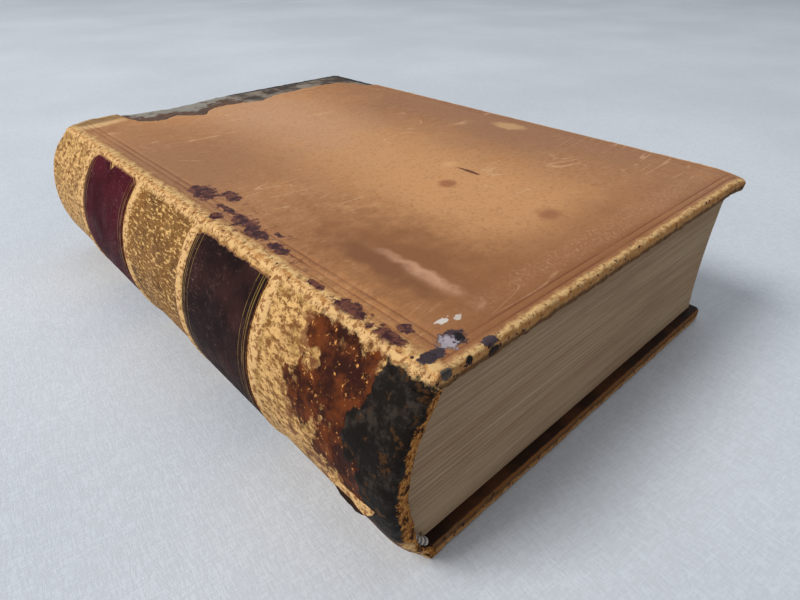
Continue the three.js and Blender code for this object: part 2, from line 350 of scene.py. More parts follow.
def add_stains(r, vector, colour, stains, detail=150.0):
    """Lays stains over a colour. Each is (centre, size, colour, ragged, softness)."""
    for centre, size, tint, ragged, softness in stains:
        colour = r.blend(patch(r, vector, centre, size, ragged, softness, detail), colour, tint)
    return colour


def cover_ground(r, p):
    """The skin itself: clouds of two browns, then mottle, creases, streaks, light rubs and pores."""
    cloud = r.between(r.noise(p, 18.0, 5.0, 0.6), 0.35, 0.68)
    warm = r.between(r.noise(p, 9.0, 3.0, 0.5), 0.4, 0.62)
    colour = r.blend(cloud, rgb(154, 102, 62), rgb(186, 134, 88))
    colour = r.lay(colour, rgb(190, 128, 70), warm, 0.5)
    mottle = r.between(r.noise(p, 240.0, 5.0, 0.7), 0.42, 0.66)
    colour = r.lay(colour, rgb(206, 156, 110), mottle, 0.45)
    creases = r.noise(r.stretch(p, (1.0, 2.4, 1.0), (0.0, 0.0, -0.5)), 300.0, 6.0, 0.75)
    colour = r.lay(colour, rgb(136, 88, 54), r.between(creases, 0.5, 0.62), 0.34)
    colour = r.lay(colour, rgb(220, 172, 128), r.between(creases, 0.46, 0.36), 0.28)
    streak = r.noise(r.stretch(p, (1.0, 9.0, 9.0), (0.0, 0.0, 0.35)), 70.0, 5.0, 0.6)
    colour = r.lay(colour, rgb(150, 98, 62), r.between(streak, 0.52, 0.72), 0.4)
    colour = add_stains(r, p, colour, COVER_SHADES, 40.0)
    rub = use(r, scratches, Vector=p, Scale=16.0, Width=0.012)["Mask"]
    colour = r.lay(colour, rgb(222, 180, 140), rub, 0.4)
    pores = r.between(r.noise(p, 760.0, 4.0, 0.65), 0.52, 0.64)
    colour = r.lay(colour, rgb(126, 78, 46), pores, 0.28)
    return colour


def add_cover_wear(r, p, colour, nearness):
    """Pale suede where the leather is worn through near an edge. Returns the colour and the pale mask."""
    pale = use(r, worn, Vector=p, Nearness=nearness, Limit=0.42, Detail=230.0, Ragged=0.7,
               Softness=0.16)["Mask"]
    colour = r.lay(colour, SUEDE, pale, 0.9)
    crumbs = r.between(r.noise(p, 560.0, 5.0, 0.75), 0.49, 0.56)
    colour = r.lay(colour, rgb(150, 98, 56), crumbs, pale, 0.7)
    rough_edge = use(r, worn, Vector=p, Nearness=nearness, Limit=0.86, Detail=520.0, Ragged=1.1,
                     Softness=0.12)["Mask"]
    return r.lay(colour, SUEDE_DEEP, rough_edge, 0.75), pale


def cover_colour(r, p):
    """The colour and the pale mask of the covers' leather, from the skin up to the dirt on top of it."""
    colour = add_stains(r, p, cover_ground(r, p), COVER_STAINS)
    dusty = patch(r, p, place(88, 11.5), (62, 4.2, 6), 1.6, 0.4)
    powder = r.between(r.noise(p, 900.0, 5.0, 0.75), 0.48, 0.62, 0.05, 0.38)
    colour = r.lay(colour, rgb(204, 156, 122), dusty, powder)
    tooled = r.attribute("tooling")
    faint = r.between(r.noise(p, 55.0, 4.0), 0.3, 0.62, 0.3, 0.8)
    colour = r.lay(colour, rgb(108, 58, 36), tooled, faint)
    nearness = r.attribute("wear")
    colour, pale = add_cover_wear(r, p, colour, nearness)
    creased = patch(r, p, place(14, 236), (20, 7, 6), 0.8, 0.3)
    fibres = r.between(r.noise(r.stretch(p, (1.0, 3.0, 1.0), (0.0, 0.0, 0.15)), 420.0, 5.0, 0.7), 0.42, 0.6)
    colour = r.lay(colour, rgb(122, 92, 56), fibres, creased, 0.75)
    by_joint = patch(r, p, place(7, 92), (8, 40, 5), 0.8, 0.5)
    spatter = r.between(r.noise(p, 330.0, 5.0, 0.7), 0.56, 0.61)
    colour = r.lay(colour, rgb(108, 64, 48), spatter, by_joint, 0.85)
    blot = r.blend(r.between(r.noise(p, 500.0, 4.0, 0.6), 0.42, 0.6), BLOT, rgb(110, 68, 56))
    colour = add_stains(r, p, colour, [(c, s, blot, e, f) for c, s, e, f in COVER_BLOTS], 430.0)
    colour = add_stains(r, p, colour, COVER_MARKS, 900.0)
    # Painted shade, with some dirt in it: the lower part of each edge, towards the middle of the book, is
    # darkened, with a nibbled border.
    from_middle = r.math("ABSOLUTE", r.math("SUBTRACT", r.axis(p, "Z"), book_top / 2 * mm))
    nibbled = r.waver(from_middle, r.noise(p, 420.0, 5.0, 0.7), 3.0 * mm)
    under = r.between(nibbled, (book_top / 2 - 2.0) * mm, (book_top / 2 - 3.2) * mm)
    colour = r.lay(colour, UNDERSIDE_SHADE_AND_DIRT, under, 0.8)
    specks = r.between(r.noise(p, 620.0, 2.0, 0.5), 0.62, 0.67)
    return r.lay(colour, DIRT, specks, r.between(nearness, 0.1, 0.8)), pale


def cover_finish(r):
    p = r.coordinates()
    skin = use(r, grain, Vector=p, Scale=850.0)
    colour, pale = cover_colour(r, p)
    fuzz = r.times(r.noise(p, 1500.0, 4.0, 0.7), 3.0)
    height = r.math("ADD", skin["Height"], r.times(pale, fuzz))
    roughness = r.mix(pale, r.between(skin["Slow"], 0.3, 0.7, 0.54, 0.7), 0.92)
    return {"Base Color": colour, "Roughness": roughness, "Normal": r.bump(height, 0.5, 0.00024)}


# %% [markdown]
# ## Where the covers are marked
#
# Each list is one kind of mark: slow shades of the whole skin, stains, the ink blots beside the joint,
# and the small marks at the tail corner. A mark is a place, its half sizes in millimetres, a colour, how
# ragged its outline is and how soft. The blots share one colour, so theirs is left out.

# %% The covers' marks and their leather
BLOT = rgb(62, 36, 40)
COVER_SHADES = [
    (place(76, 80), (34, 95, 8), rgb(198, 146, 98), 1.4, 0.9),
    (place(76, 180), (30, 50, 8), rgb(194, 148, 112), 1.4, 0.9),
    (place(14, 150), (34, 60, 8), rgb(158, 114, 80), 1.2, 0.9),
    (place(56, 4), (74, 18, 8), rgb(146, 98, 62), 1.4, 0.9),
    (place(150, 90), (36, 120, 8), rgb(154, 112, 82), 1.0, 0.9),
    (place(12, 227), (14, 5, 6), rgb(212, 172, 122), 1.6, 0.5),
    (place(12, 236), (17, 7, 6), rgb(158, 124, 82), 1.2, 0.25),
]
COVER_STAINS = [
    (place(28, 38), (17, 30, 5), rgb(136, 90, 56), 1.6, 0.9),
    (place(25, 32), (2.4, 14, 5), rgb(198, 150, 118), 2.4, 0.6),
    (place(21, 42), (4, 18, 5), rgb(128, 84, 54), 2.2, 0.7),
    (place(74, 67), (3.4, 3.0, 4), rgb(160, 106, 70), 1.8, 0.5),
    (place(78, 29), (4.0, 3.4, 4), rgb(158, 106, 70), 1.8, 0.6),
    (place(88, 71), (0.9, 5.0, 3), rgb(104, 62, 42), 1.9, 0.3),
    (place(88, 80), (3, 2.4, 3), rgb(208, 158, 108), 1.6, 0.8),
    (place(143, 95), (3.6, 7, 4), rgb(188, 148, 104), 2.6, 0.5),
]
COVER_BLOTS = [
    (place(9.5, 118), (4.0, 7.6, 4), 2.0, 0.1),
    (place(14.5, 108), (2.4, 5, 4), 2.4, 0.14),
    (place(8.5, 100), (1.5, 6, 4), 2.8, 0.14),
    (place(3.6, 98), (2.2, 2.6, 4), 2.2, 0.12),
    (place(8.0, 88), (3, 7, 4), 2.8, 0.14),
    (place(6.5, 79), (2.6, 5.6, 4), 2.4, 0.12),
    (place(6.0, 66), (1.8, 5, 4), 2.8, 0.12),
    (place(10.5, 73), (1.0, 2, 4), 2.0, 0.12),
    (place(2.6, 44), (1.1, 4, 4), 2.4, 0.15),
    (place(2.2, 31), (2.6, 6, 4), 2.8, 0.16),
    (place(1.5, 17), (2.2, 5.4, 4), 2.6, 0.14),
    (place(6.2, 16), (1.8, 2.2, 4), 2.2, 0.14),
]
COVER_MARKS = [
    (place(4, 5.6), (4.2, 1.7, 4), rgb(62, 52, 58), 1.6, 0.12),
    (place(11, 6.8), (3.8, 2.8, 4), rgb(64, 48, 52), 1.6, 0.14),
    (place(12.6, 6.2), (1.5, 1.5, 4), rgb(24, 18, 22), 1.2, 0.12),
    (place(9.6, 6.6), (1.9, 2.0, 4), rgb(160, 152, 158), 3.4, 0.3),
    (place(14.2, 12.6), (1.7, 0.9, 4), rgb(206, 198, 190), 3.6, 0.25),
    (place(17.6, 11.2), (1.0, 0.7, 4), rgb(196, 184, 174), 3.6, 0.25),
    (place(16.5, 1.2), (2.2, 1.2, 3), rgb(70, 60, 66), 1.2, 0.1),
    (place(9.5, -0.3), (1.5, 1.1, 3), rgb(30, 24, 24), 1.2, 0.1),
    (place(17, -0.3, 58.5), (2.0, 1.2, 1.4), rgb(34, 28, 26), 1.2, 0.1),
    (place(2.6, -0.2), (1.8, 1.2, 2.4), rgb(84, 78, 72), 1.2, 0.15),
    (place(-1.5, 4.0), (1.6, 2.4, 3), rgb(70, 64, 62), 1.6, 0.15),
]
leather_of_covers = material("cover leather", cover_finish, Specular_IOR_Level=0.22)
print("leather:", leather_of_covers.name)

# %% [markdown]
# ## Working a mesh
#
# The leather pieces start from a cube or from a short profile, and operators do the shaping. A cut is
# made with `bisect_plane`, which adds a line of vertices across the faces that it is given. Enough cuts
# give the surface something to dent. A dent follows smooth noise, which gives the same answer on every
# run.


# %% Mesh helpers
def cut(bm, point, direction, faces=None):
    """Adds a line of vertices where a plane crosses the faces."""
    faces = faces if faces is not None else bm.faces[:]
    edges = {e for f in faces for e in f.edges}
    verts = {v for f in faces for v in f.verts}
    geometry = list(verts) + list(edges) + list(faces)
    bmesh.ops.bisect_plane(bm, geom=geometry, dist=1e-7, plane_co=point, plane_no=direction)


def rub(v, size, seed=0.0):
    """Smooth noise from -1 to 1 at a point, with hills of a size in millimetres."""
    return noise.noise(v / (size * mm) + Vector((seed, seed * 0.7, -seed)))


def paint(bm, name, value):
    """Writes value(vertex) into a named attribute, which materials read."""
    layer = bm.verts.layers.float.get(name) or bm.verts.layers.float.new(name)
    for v in bm.verts:
        v[layer] = value(v)


def near(distance, reach):
    """1 at an edge, falling away over a reach in millimetres."""
    return math.exp(-max(0.0, distance) / reach)


def to_object(bm, name, *finishes, smooth=True):
    """Turns a bmesh into a linked object with its materials."""
    mesh = bpy.data.meshes.new(name)
    for face in bm.faces:
        face.smooth = smooth
    bm.to_mesh(mesh)
    bm.free()
    for finish in finishes:
        mesh.materials.append(finish)
    made = bpy.data.objects.new(name, mesh)
    bpy.context.scene.collection.objects.link(made)
    return made


def place_of(point):
    """A point's place on the book, in millimetres: from the joint, from the tail and above the table."""
    return (point.x - joint_x) / mm, (point.y - tail_y) / mm, point.z / mm


def book_place(v):
    return place_of(v.co)


def keep_rest(bm):
    """Stores where each vertex is while the book is closed, to lay out patterns on pieces that bend."""
    layer = bm.verts.layers.float_vector.new("rest")
    for v in bm.verts:
        v[layer] = v.co


# %% [markdown]
# ### Corners, rounding and thickness
#
# Four pieces meet near the knocked corner by the joint: the back, the joint's strip, the cover's leather and
# its board. Two meet at the fore-edge corner by the tail. One function moves them all, so they stay together.

# %% Corners, rounding and thickness
HEAD_KNOCK = 14
FORE_KNOCK = 13


def worn_corner(point):
    """How far the knocked corners have moved: blunted at the head of the joint, bent at the fore edge."""
    spot = place_of(point)
    head = max(0.0, 1 - math.dist(spot, (-1, book_height, book_top)) / HEAD_KNOCK) ** 2
    fore = max(0.0, 1 - math.dist(spot, (book_width, 0, book_top)) / FORE_KNOCK) ** 2
    return Vector((0.9 * fore, -2.6 * head - 0.9 * fore, -2.2 * head - 2.2 * fore)) * mm


def round_edges(bm, edges, size, segments):
    """Rounds edges by a size in millimetres."""
    bmesh.ops.bevel(bm, geom=edges, offset=size * mm, offset_type="OFFSET", segments=segments, profile=0.5,
                    affect="EDGES", material=-1)


def fore_corners(bm):
    """The upright edges of a board or a cover at its fore edge."""
    return [e for e in bm.edges if abs(e.verts[0].co.z - e.verts[1].co.z) > mm and e.verts[0].co.x > 0]


def thicken(piece, thickness):
    """Gives a sheet its thickness inwards, away from the side that its faces point to."""
    skin = piece.modifiers.new("thickness", "SOLIDIFY")
    skin.thickness = thickness * mm
    skin.offset = -1.0


# %% [markdown]
# ## The covers' leather
#
# A cover is a box of leather that is open towards the joint. Its inner face keeps only the turn-ins, the
# strips of leather that were folded over the board. The fore-edge corners are rounded and every long edge
# is bevelled. Two fillet lines were tooled beside each edge with a warm iron: three close cuts each, the
# middle one pressed down.
#
# On the front cover the leather is torn away along the head. The tear is a chain of straight cuts, so its
# corners are sharp, and what lies beyond it is deleted.

# %% Make the covers' leather
TURN_IN = 16.0
FILLETS = (3.4, 5.6)
JOINT_FILLETS = (6.8, 9.0)
JOINT_WEAR = 3.4
FILLET_HALF = 0.42
FILLET_DEPTH = 0.22
CORNER_ROUND = 3.2
EDGE_ROUND = 1.2
SKIN_THICK = 0.62
TEAR = [
    (24, 236), (25, 226), (27, 219), (31, 214.6), (37, 213.6), (44, 217), (49, 211.6), (55, 208), (59, 214),
    (66, 217.4), (78, 216.6), (88, 213), (98, 218), (112, 220), (128, 221), (142, 219.6), (147, 213),
    (149.5, 203), (157, 199),
]


def tear_line(x):
    """How far from the tail the leather reaches, at x from the joint."""
    if x <= TEAR[0][0]:
        return book_height + 5
    for (x0, y0), (x1, y1) in zip(TEAR, TEAR[1:]):
        if x <= x1:
            return y0 + (y1 - y0) * (x - x0) / (x1 - x0)
    return TEAR[-1][1]


def cut_places(length, pitch, fine_lines):
    """Where to cut along a side: evenly, with three lines at each fillet and fine steps at both ends."""
    fine = [c + d for c in fine_lines for d in (-FILLET_HALF, 0.0, FILLET_HALF)]
    fine += [s for d in (0.6, 1.3, 2.1) for s in (d, length - d)]
    count = round(length / pitch)
    even = [i * length / count for i in range(1, count)]
    return sorted(fine + [e for e in even if min(abs(e - f) for f in fine) > 0.5 * pitch])


# %% [markdown]
# ### From a box to a worn cover
#
# First the box is bevelled, opened and cut, then the head is torn. Two attributes are painted on the
# vertices, "wear" and "tooling", and both the shape and the material follow them, so a nibbled edge is also
# a pale one.

# %% Box, tear and wear of a cover
lines_x = list(JOINT_FILLETS) + [book_width - f for f in FILLETS]
lines_y = list(FILLETS) + [book_height - f for f in FILLETS]


def cover_box(low, high, extra_cuts, pitch):
    """The box of a cover at the height of the front one, cut finely and open inside its turn-ins."""
    size = high - low
    bm = bmesh.new()
    bmesh.ops.create_cube(bm, size=1.0)
    bmesh.ops.scale(bm, verts=bm.verts, vec=size)
    centre = (low + high) / 2
    bmesh.ops.translate(bm, verts=bm.verts, vec=(centre.x, centre.y, cover_high.z - size.z / 2))
    round_edges(bm, fore_corners(bm), CORNER_ROUND, 6)
    bmesh.ops.delete(bm, geom=[f for f in bm.faces if f.normal.x < -0.9], context="FACES_ONLY")
    outline = [e for e in bm.edges if len(e.link_faces) == 2
               and abs(e.link_faces[0].normal.z - e.link_faces[1].normal.z) > 0.5]
    round_edges(bm, outline, EDGE_ROUND, 3)
    for x in cut_places(book_width, pitch, lines_x) + extra_cuts:
        cut(bm, at(x, 0, 0), (1, 0, 0))
    for y in cut_places(book_height, pitch, lines_y):
        cut(bm, at(0, y, 0), (0, 1, 0))
    cut(bm, at(book_width - TURN_IN, 0, 0), (1, 0, 0))
    cut(bm, at(0, TURN_IN, 0), (0, 1, 0))
    cut(bm, at(0, book_height - TURN_IN, 0), (0, 1, 0))
    inside = []
    for f in bm.faces:
        x, y, _ = place_of(f.calc_center_median())
        if f.normal.z < -0.9 and x < book_width - TURN_IN and TURN_IN < y < book_height - TURN_IN:
            inside.append(f)
    bmesh.ops.delete(bm, geom=inside, context="FACES")
    return bm


def tear_head(bm):
    """Cuts the outer face along the tear, one straight cut to each stretch, and deletes what lies beyond."""
    for (x0, y0), (x1, y1) in zip(TEAR, TEAR[1:]):
        strip = [f for f in bm.faces if x0 < place_of(f.calc_center_median())[0] < x1 and f.normal.z > 0.5]
        along = at(x1, y1, 0) - at(x0, y0, 0)
        cut(bm, at(x0, y0, 0), (along.y, -along.x, 0), strip)
    gone = []
    for f in bm.faces:
        x, y, _ = place_of(f.calc_center_median())
        if y > tear_line(x):
            gone.append(f)
    bmesh.ops.delete(bm, geom=gone, context="FACES")


def tooling(v):
    """1 on a fillet line of the outer face, between the outermost lines that cross it."""
    x, y, z = book_place(v)
    start = FILLETS[0] - 0.1
    on_x = min(abs(x - c) for c in lines_x) < 0.05 and start < y < book_height - start
    on_y = min(abs(y - c) for c in lines_y) < 0.05 and start < x < book_width - start
    return 1.0 if z >= book_top - 0.5 and (on_x or on_y) else 0.0


def wear_cover(bm, inner_z, front):
    """Paints the wear and the tooling, then dents the skin, nibbles its edges and presses the fillets in."""

    def wear(v):
        x, y, z = book_place(v)
        if z < inner_z + 0.2 and min(y, book_width - x, book_height - y) > 0.8:
            return 0.0
        edge = max(near(x, JOINT_WEAR), near(y, 2.0), near(book_width - x, 1.5), near(book_height - y, 3.0))
        torn = near(abs(y - tear_line(x)), 0.5) if front and x > TEAR[0][0] else 0.0
        return max(edge, near(z - inner_z, 0.6), torn * 0.8)

    paint(bm, "wear", wear)
    paint(bm, "tooling", tooling)
    bm.normal_update()
    wear_layer, tool_layer = bm.verts.layers.float["wear"], bm.verts.layers.float["tooling"]
    shifts = []
    for v in bm.verts:
        hills = 0.10 * rub(v.co, 34) + 0.05 * rub(v.co, 9, 3.0)
        nibbled = v[wear_layer] ** 2 * (0.36 * rub(v.co, 2.6, 7.0) + 0.26 * rub(v.co, 1.1, 11.0) - 0.18)
        pressed = -FILLET_DEPTH * v[tool_layer]
        at_joint = near(book_place(v)[0], 1.5)
        shifts.append(v.normal * mm * ((hills + nibbled) * (1 - 0.8 * at_joint) + pressed - 0.5 * at_joint))
    for v, shift in zip(bm.verts, shifts):
        v.co += shift + (worn_corner(v.co) if front else Vector())


def turn_over(bm):
    """Mirrors a cover that was made as a front one down to the back cover's place."""
    half = Vector((0, 0, book_top / 2 * mm))
    bmesh.ops.translate(bm, verts=bm.verts, vec=-half)
    bmesh.ops.scale(bm, verts=bm.verts, vec=(1, 1, -1))
    bmesh.ops.translate(bm, verts=bm.verts, vec=half)
    bmesh.ops.reverse_faces(bm, faces=bm.faces)


def make_cover_leather(side, pitch):
    front = side == "front"
    low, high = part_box(f"{side}_cover_leather")
    deep = (high.z - low.z) / mm
    bm = cover_box(low, high, [x for x, y in TEAR[:-1]] if front else [], pitch)
    if front:
        tear_head(bm)
    wear_cover(bm, book_top - deep, front)
    for f in bm.faces:
        f.material_index = 1 if f.calc_center_median().z < cover_high.z - (deep - 0.5) * mm else 0
    if not front:
        turn_over(bm)
    piece = to_object(bm, f"{side}_cover_skin", leather_of_covers, leather_of_turn_ins)
    thicken(piece, SKIN_THICK)
    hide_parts(f"{side}_cover_leather")
    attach(piece, f"{side}_cover")
    print(piece.name, len(piece.data.polygons), "faces")


# %% [markdown]
# ### The turn-ins, and both covers
#
# The turned-in strips are dark and dull, because glue and paste have soaked them, and their dark colour also
# holds painted shade, as they lie in the gap under the text block. The back cover is made just like the front
# one, with wider spaced cuts since it is hardly seen, and then mirrored downwards.


# %% The turn-ins' leather, and both covers
def turn_in_leather(r):
    p = r.coordinates()
    skin = use(r, grain, Vector=p, Scale=700.0)
    # Painted shade: these dark browns are partly the turn-ins' own soaked colour and partly the shade of the
    # gap under the text block.
    colour = r.blend(r.between(r.noise(p, 60.0, 5.0, 0.6), 0.35, 0.7), rgb(40, 22, 11), rgb(80, 46, 21))
    pale = use(r, worn, Vector=p, Nearness=r.attribute("wear"), Limit=0.45, Detail=400.0, Ragged=0.9,
               Softness=0.1)["Mask"]
    colour = r.blend(pale, colour, rgb(128, 82, 42))
    return {"Base Color": colour, "Roughness": r.mix(pale, 0.62, 0.9),
            "Normal": r.bump(skin["Height"], 0.5, 0.0003)}


leather_of_turn_ins = material("turn-in leather", turn_in_leather, Specular_IOR_Level=0.22)
make_cover_leather("front", 1.6)
make_cover_leather("back", 2.6)

# %% [markdown]
# ## The bared board
#
# Beyond the tear the board itself shows. It is dense grey pulp, its top layers lifting, gnawed back a
# little between the two ends of the head edge, and black with dirt at the rim.

# %% Make the front board
BARE_RISE = 0.5
BOARD_CORNER = 2.4
BARE_FROM = 17
GREY_TO = 82


def gnawed(x):
    """How far the head edge is worn back, at x from the joint."""
    return 5.5 * math.exp(-(((x - 48) / 22) ** 2)) + 0.5


def make_front_board():
    low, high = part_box("front_board")
    bm = bmesh.new()
    bmesh.ops.create_cube(bm, size=1.0)
    bmesh.ops.scale(bm, verts=bm.verts, vec=high - low)
    bmesh.ops.translate(bm, verts=bm.verts, vec=(low + high) / 2)
    round_edges(bm, fore_corners(bm), BOARD_CORNER, 5)
    for i in range(1, 102):
        cut(bm, at(1.5 * i, 0, 0), (1, 0, 0))
    for y in [20 * i for i in range(1, 10)] + [200 + 1.3 * i for i in range(30)]:
        cut(bm, at(0, y, 0), (0, 1, 0))
    for z in (0.25, 0.5, 0.75):
        cut(bm, Vector((0, 0, low.z + (high.z - low.z) * z)), (0, 0, 1))
    for v in bm.verts:
        x, y, z = book_place(v)
        beyond = min(1.0, max(0.0, (y - tear_line(x) - 0.2) / 0.8)) if x > BARE_FROM else 0.0
        if z > high.z / mm - 0.1:
            lumps = 0.14 * rub(v.co, 3.0) + 0.1 * rub(v.co, 1.2, 5.0)
            v.co.z += beyond * (BARE_RISE + lumps) * mm
        head = max(0.0, (y - (book_height - 14)) / 12) if x > BARE_FROM else 0.0
        v.co.y -= min(1.0, head) * (gnawed(x) + 0.5 * rub(v.co, 2.2, 9.0) * head) * mm
        if y > book_height - 2 and x > BARE_FROM:
            v.co.y += 0.35 * rub(v.co, 0.8, 2.0) * mm
        v.co += worn_corner(v.co)

    def margin(v):
        x, y, _ = book_place(v)
        return near(y - tear_line(x), 15.0 if x < GREY_TO else 1.6)

    def rim(v):
        x, y, _ = book_place(v)
        from_edge = min(book_height - 1.2 - y - gnawed(x), book_width - 1.5 - x)
        return near(from_edge, 0.8 if x < GREY_TO else 4.0)

    paint(bm, "margin", margin)
    paint(bm, "rim", rim)
    piece = to_object(bm, "front_board_bare", pulp_board)
    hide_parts("front_board")
    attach(piece, "front_cover")
    return piece


def board_finish(r):
    p = r.coordinates()
    fibres = r.noise(r.stretch(p, (1.0, 5.0, 5.0), (0.0, 0.0, 0.2)), 260.0, 5.0, 0.65)
    marble = r.between(r.noise(p, 90.0, 5.0, 0.65), 0.36, 0.66)
    colour = r.blend(marble, rgb(54, 42, 36), rgb(140, 128, 114))
    colour = r.lay(colour, rgb(96, 66, 44), r.between(fibres, 0.5, 0.7), 0.5)
    grey = r.between(r.axis(p, "X"), at(GREY_TO + 2, 0, 0).x, at(GREY_TO - 6, 0, 0).x)
    colour = r.lay(colour, rgb(146, 142, 132), grey, 0.8)
    blotch = r.between(r.noise(p, 150.0, 4.0, 0.6), 0.56, 0.64)
    colour = r.lay(colour, rgb(58, 46, 42), blotch, 0.5)
    margin = r.between(r.waver(r.attribute("margin"), r.noise(p, 130.0, 5.0, 0.65), 1.5), 0.42, 0.55)
    torn_skin = r.blend(r.between(fibres, 0.4, 0.6), rgb(52, 32, 26), rgb(104, 68, 44))
    colour = r.lay(colour, torn_skin, margin, 0.92)
    rim = r.between(r.attribute("rim"), 0.35, 0.8)
    colour = r.lay(colour, rgb(28, 24, 22), rim, r.mix(grey, 0.95, 0.3))
    return {"Base Color": colour, "Roughness": r.between(fibres, 0.3, 0.7, 0.8, 0.95),
            "Normal": r.bump(fibres, 0.7, 0.0006)}


pulp_board = material("pulp board", board_finish)
print("board:", make_front_board().name)

# %% [markdown]
# ## The leather of the back
#
# The back has the same skin, but it has been handled far more. Its grain layer is gone in a thousand
# flecks, so pale suede and brown islands alternate everywhere. The ridges over the bands, the joints and
# the caps are the palest. Damp has turned the tail panel red-brown, and a burnt-looking crust covers its
# end.
#
# The spots that belong to one place are stains, as on the cover, except one: a painted shadow under the lower
# edge of the lifted flake. The rest is noise with a threshold: a mask that is 1 where the noise is high gives
# islands, and the threshold sets how much of the surface they take.

# %% The back's leather
BAND_TINT = rgb(226, 184, 126)
CRUST = rgb(21, 15, 11)
FLAKE = (5.5, 23.5)
FLAKE_FOOT = -0.27


def islands(r, vector, scale, high, soft=0.03, detail=5.0, roughness=0.65):
    """A mask of islands: 1 where noise is above a threshold."""
    return r.between(r.noise(vector, scale, detail, roughness), high - soft, high + soft)


def span(r, value, low, high, soft):
    """1 between two places along an axis, with soft ends."""
    return r.times(r.between(value, low - soft, low + soft), r.between(value, high + soft, high - soft))


def back_colour(r, p, nearness):
    """The colour and the pale mask of the back's leather."""
    y_ragged = r.waver(r.axis(p, "Y"), r.noise(p, 160.0, 4.0, 0.6), 8 * mm)
    flecks = r.noise(r.stretch(p, (1.0, 0.6, 1.4), (0.5, 0.0, 0.0)), 560.0, 6.0, 0.8)
    colour = r.blend(r.between(flecks, 0.43, 0.55), rgb(122, 80, 38), rgb(216, 172, 110))
    colour = r.lay(colour, rgb(150, 114, 62), islands(r, p, 130.0, 0.56, 0.05), 0.6)
    colour = r.lay(colour, rgb(104, 64, 34), islands(r, p, 420.0, 0.6, 0.03), 0.8)
    middle = span(r, y_ragged, at(0, 101, 0).y, at(0, 144, 0).y, 1.5 * mm)
    olive = r.blend(r.between(r.noise(p, 70.0, 4.0, 0.6), 0.35, 0.65), rgb(84, 50, 17), rgb(124, 82, 34))
    strands = r.noise(r.stretch(p, (0.5, 0.32, 1.0), (0.75, 0.0, 0.0)), 1150.0, 5.0, 0.7)
    olive = r.lay(olive, rgb(222, 178, 112), r.between(strands, 0.53, 0.6), 0.95)
    colour = r.lay(colour, olive, middle, 0.85)
    colour = add_damp(r, p, colour)
    pale = use(r, worn, Vector=p, Nearness=nearness, Limit=0.6, Detail=430.0, Ragged=0.95,
               Softness=0.12)["Mask"]
    colour = r.lay(colour, BAND_TINT, pale, 0.92)
    crumbs = islands(r, p, 560.0, 0.525, 0.03, 5.0, 0.75)
    colour = r.lay(colour, rgb(128, 76, 38), crumbs, pale, 0.85)
    # Painted shadow: a dark patch under the lower edge of the lifted flake.
    shade = patch(r, p, on_back(FLAKE_FOOT, sum(FLAKE) / 2, 0.5), (4, 9, 2.2), 1.0, 0.12, 300.0)
    colour = r.blend(shade, colour, rgb(44, 24, 14))
    caps = r.between(r.waver(r.attribute("lip"), r.noise(p, 230.0, 5.0, 0.65), 0.9), 0.36, 0.46)
    fuzz = r.blend(r.between(r.noise(p, 1100.0, 5.0, 0.75), 0.42, 0.58), rgb(120, 66, 24), rgb(204, 142, 74))
    fuzz = r.blend(islands(r, p, 420.0, 0.56, 0.03), fuzz, rgb(62, 36, 20))
    colour = r.lay(colour, fuzz, caps, 0.95)
    return colour, r.math("MAXIMUM", pale, caps)


def add_damp(r, p, colour):
    """The damp stain, the spots round it and the crust at the tail end of the back."""
    tail = r.between(r.axis(p, "Y"), at(0, 50, 0).y, at(0, 34, 0).y)
    colour = r.lay(colour, rgb(110, 62, 38), islands(r, p, 190.0, 0.56, 0.025), tail, 0.85)
    rust = r.blend(r.between(r.noise(p, 120.0, 6.0, 0.65), 0.4, 0.62), rgb(48, 18, 8), rgb(104, 50, 18))
    rust = r.blend(islands(r, p, 620.0, 0.62, 0.02, 6.0, 0.75), rust, rgb(210, 146, 80))
    damp = [(on_back(a, y), size, rust, ragged, softness) for a, y, size, ragged, softness in DAMP]
    colour = add_stains(r, p, colour, damp, 210.0)
    crust = r.blend(r.between(r.noise(p, 260.0, 6.0, 0.75), 0.48, 0.64), CRUST, rgb(52, 44, 38))
    crust = r.blend(islands(r, p, 300.0, 0.6, 0.03), crust, rgb(66, 42, 20))
    burnt = [(on_back(a, y), size, crust, 1.0, 0.06) for a, y, size in CRUSTS]
    return add_stains(r, p, colour, burnt, 300.0)


# Each is an angle on the back, the distance from the tail and the half sizes, then how ragged and how soft.
DAMP = [
    (0.50, 22, (13, 11, 12), 2.6, 0.14),
    (0.15, 16, (12, 11, 14), 2.8, 0.14),
    (0.70, 31, (7, 6, 6), 1.6, 0.12),
    (0.30, 31, (9, 8, 9), 2.6, 0.15),
    (-0.20, 10, (10, 8, 12), 2.2, 0.2),
]
CRUSTS = [
    (0.62, 5.4, (12, 7.8, 11)),
    (0.36, 6, (12, 8.4, 12)),
    (0.08, 4.4, (10, 7.0, 11)),
    (-0.2, 3.4, (8, 5.0, 8)),
    (0.30, 14, (5, 3.5, 7)),
]


def back_finish(r):
    p = r.coordinates()
    skin = use(r, grain, Vector=p, Scale=800.0)
    colour, pale = back_colour(r, p, r.attribute("wear"))
    height = r.math("ADD", skin["Height"], r.times(pale, r.noise(p, 1500.0, 4.0, 0.7)))
    roughness = r.mix(pale, r.between(skin["Slow"], 0.3, 0.7, 0.52, 0.72), 0.9)
    return {"Base Color": colour, "Roughness": roughness, "Normal": r.bump(height, 0.6, 0.0003)}


leather_of_back = material("back leather", back_finish, Specular_IOR_Level=0.1)


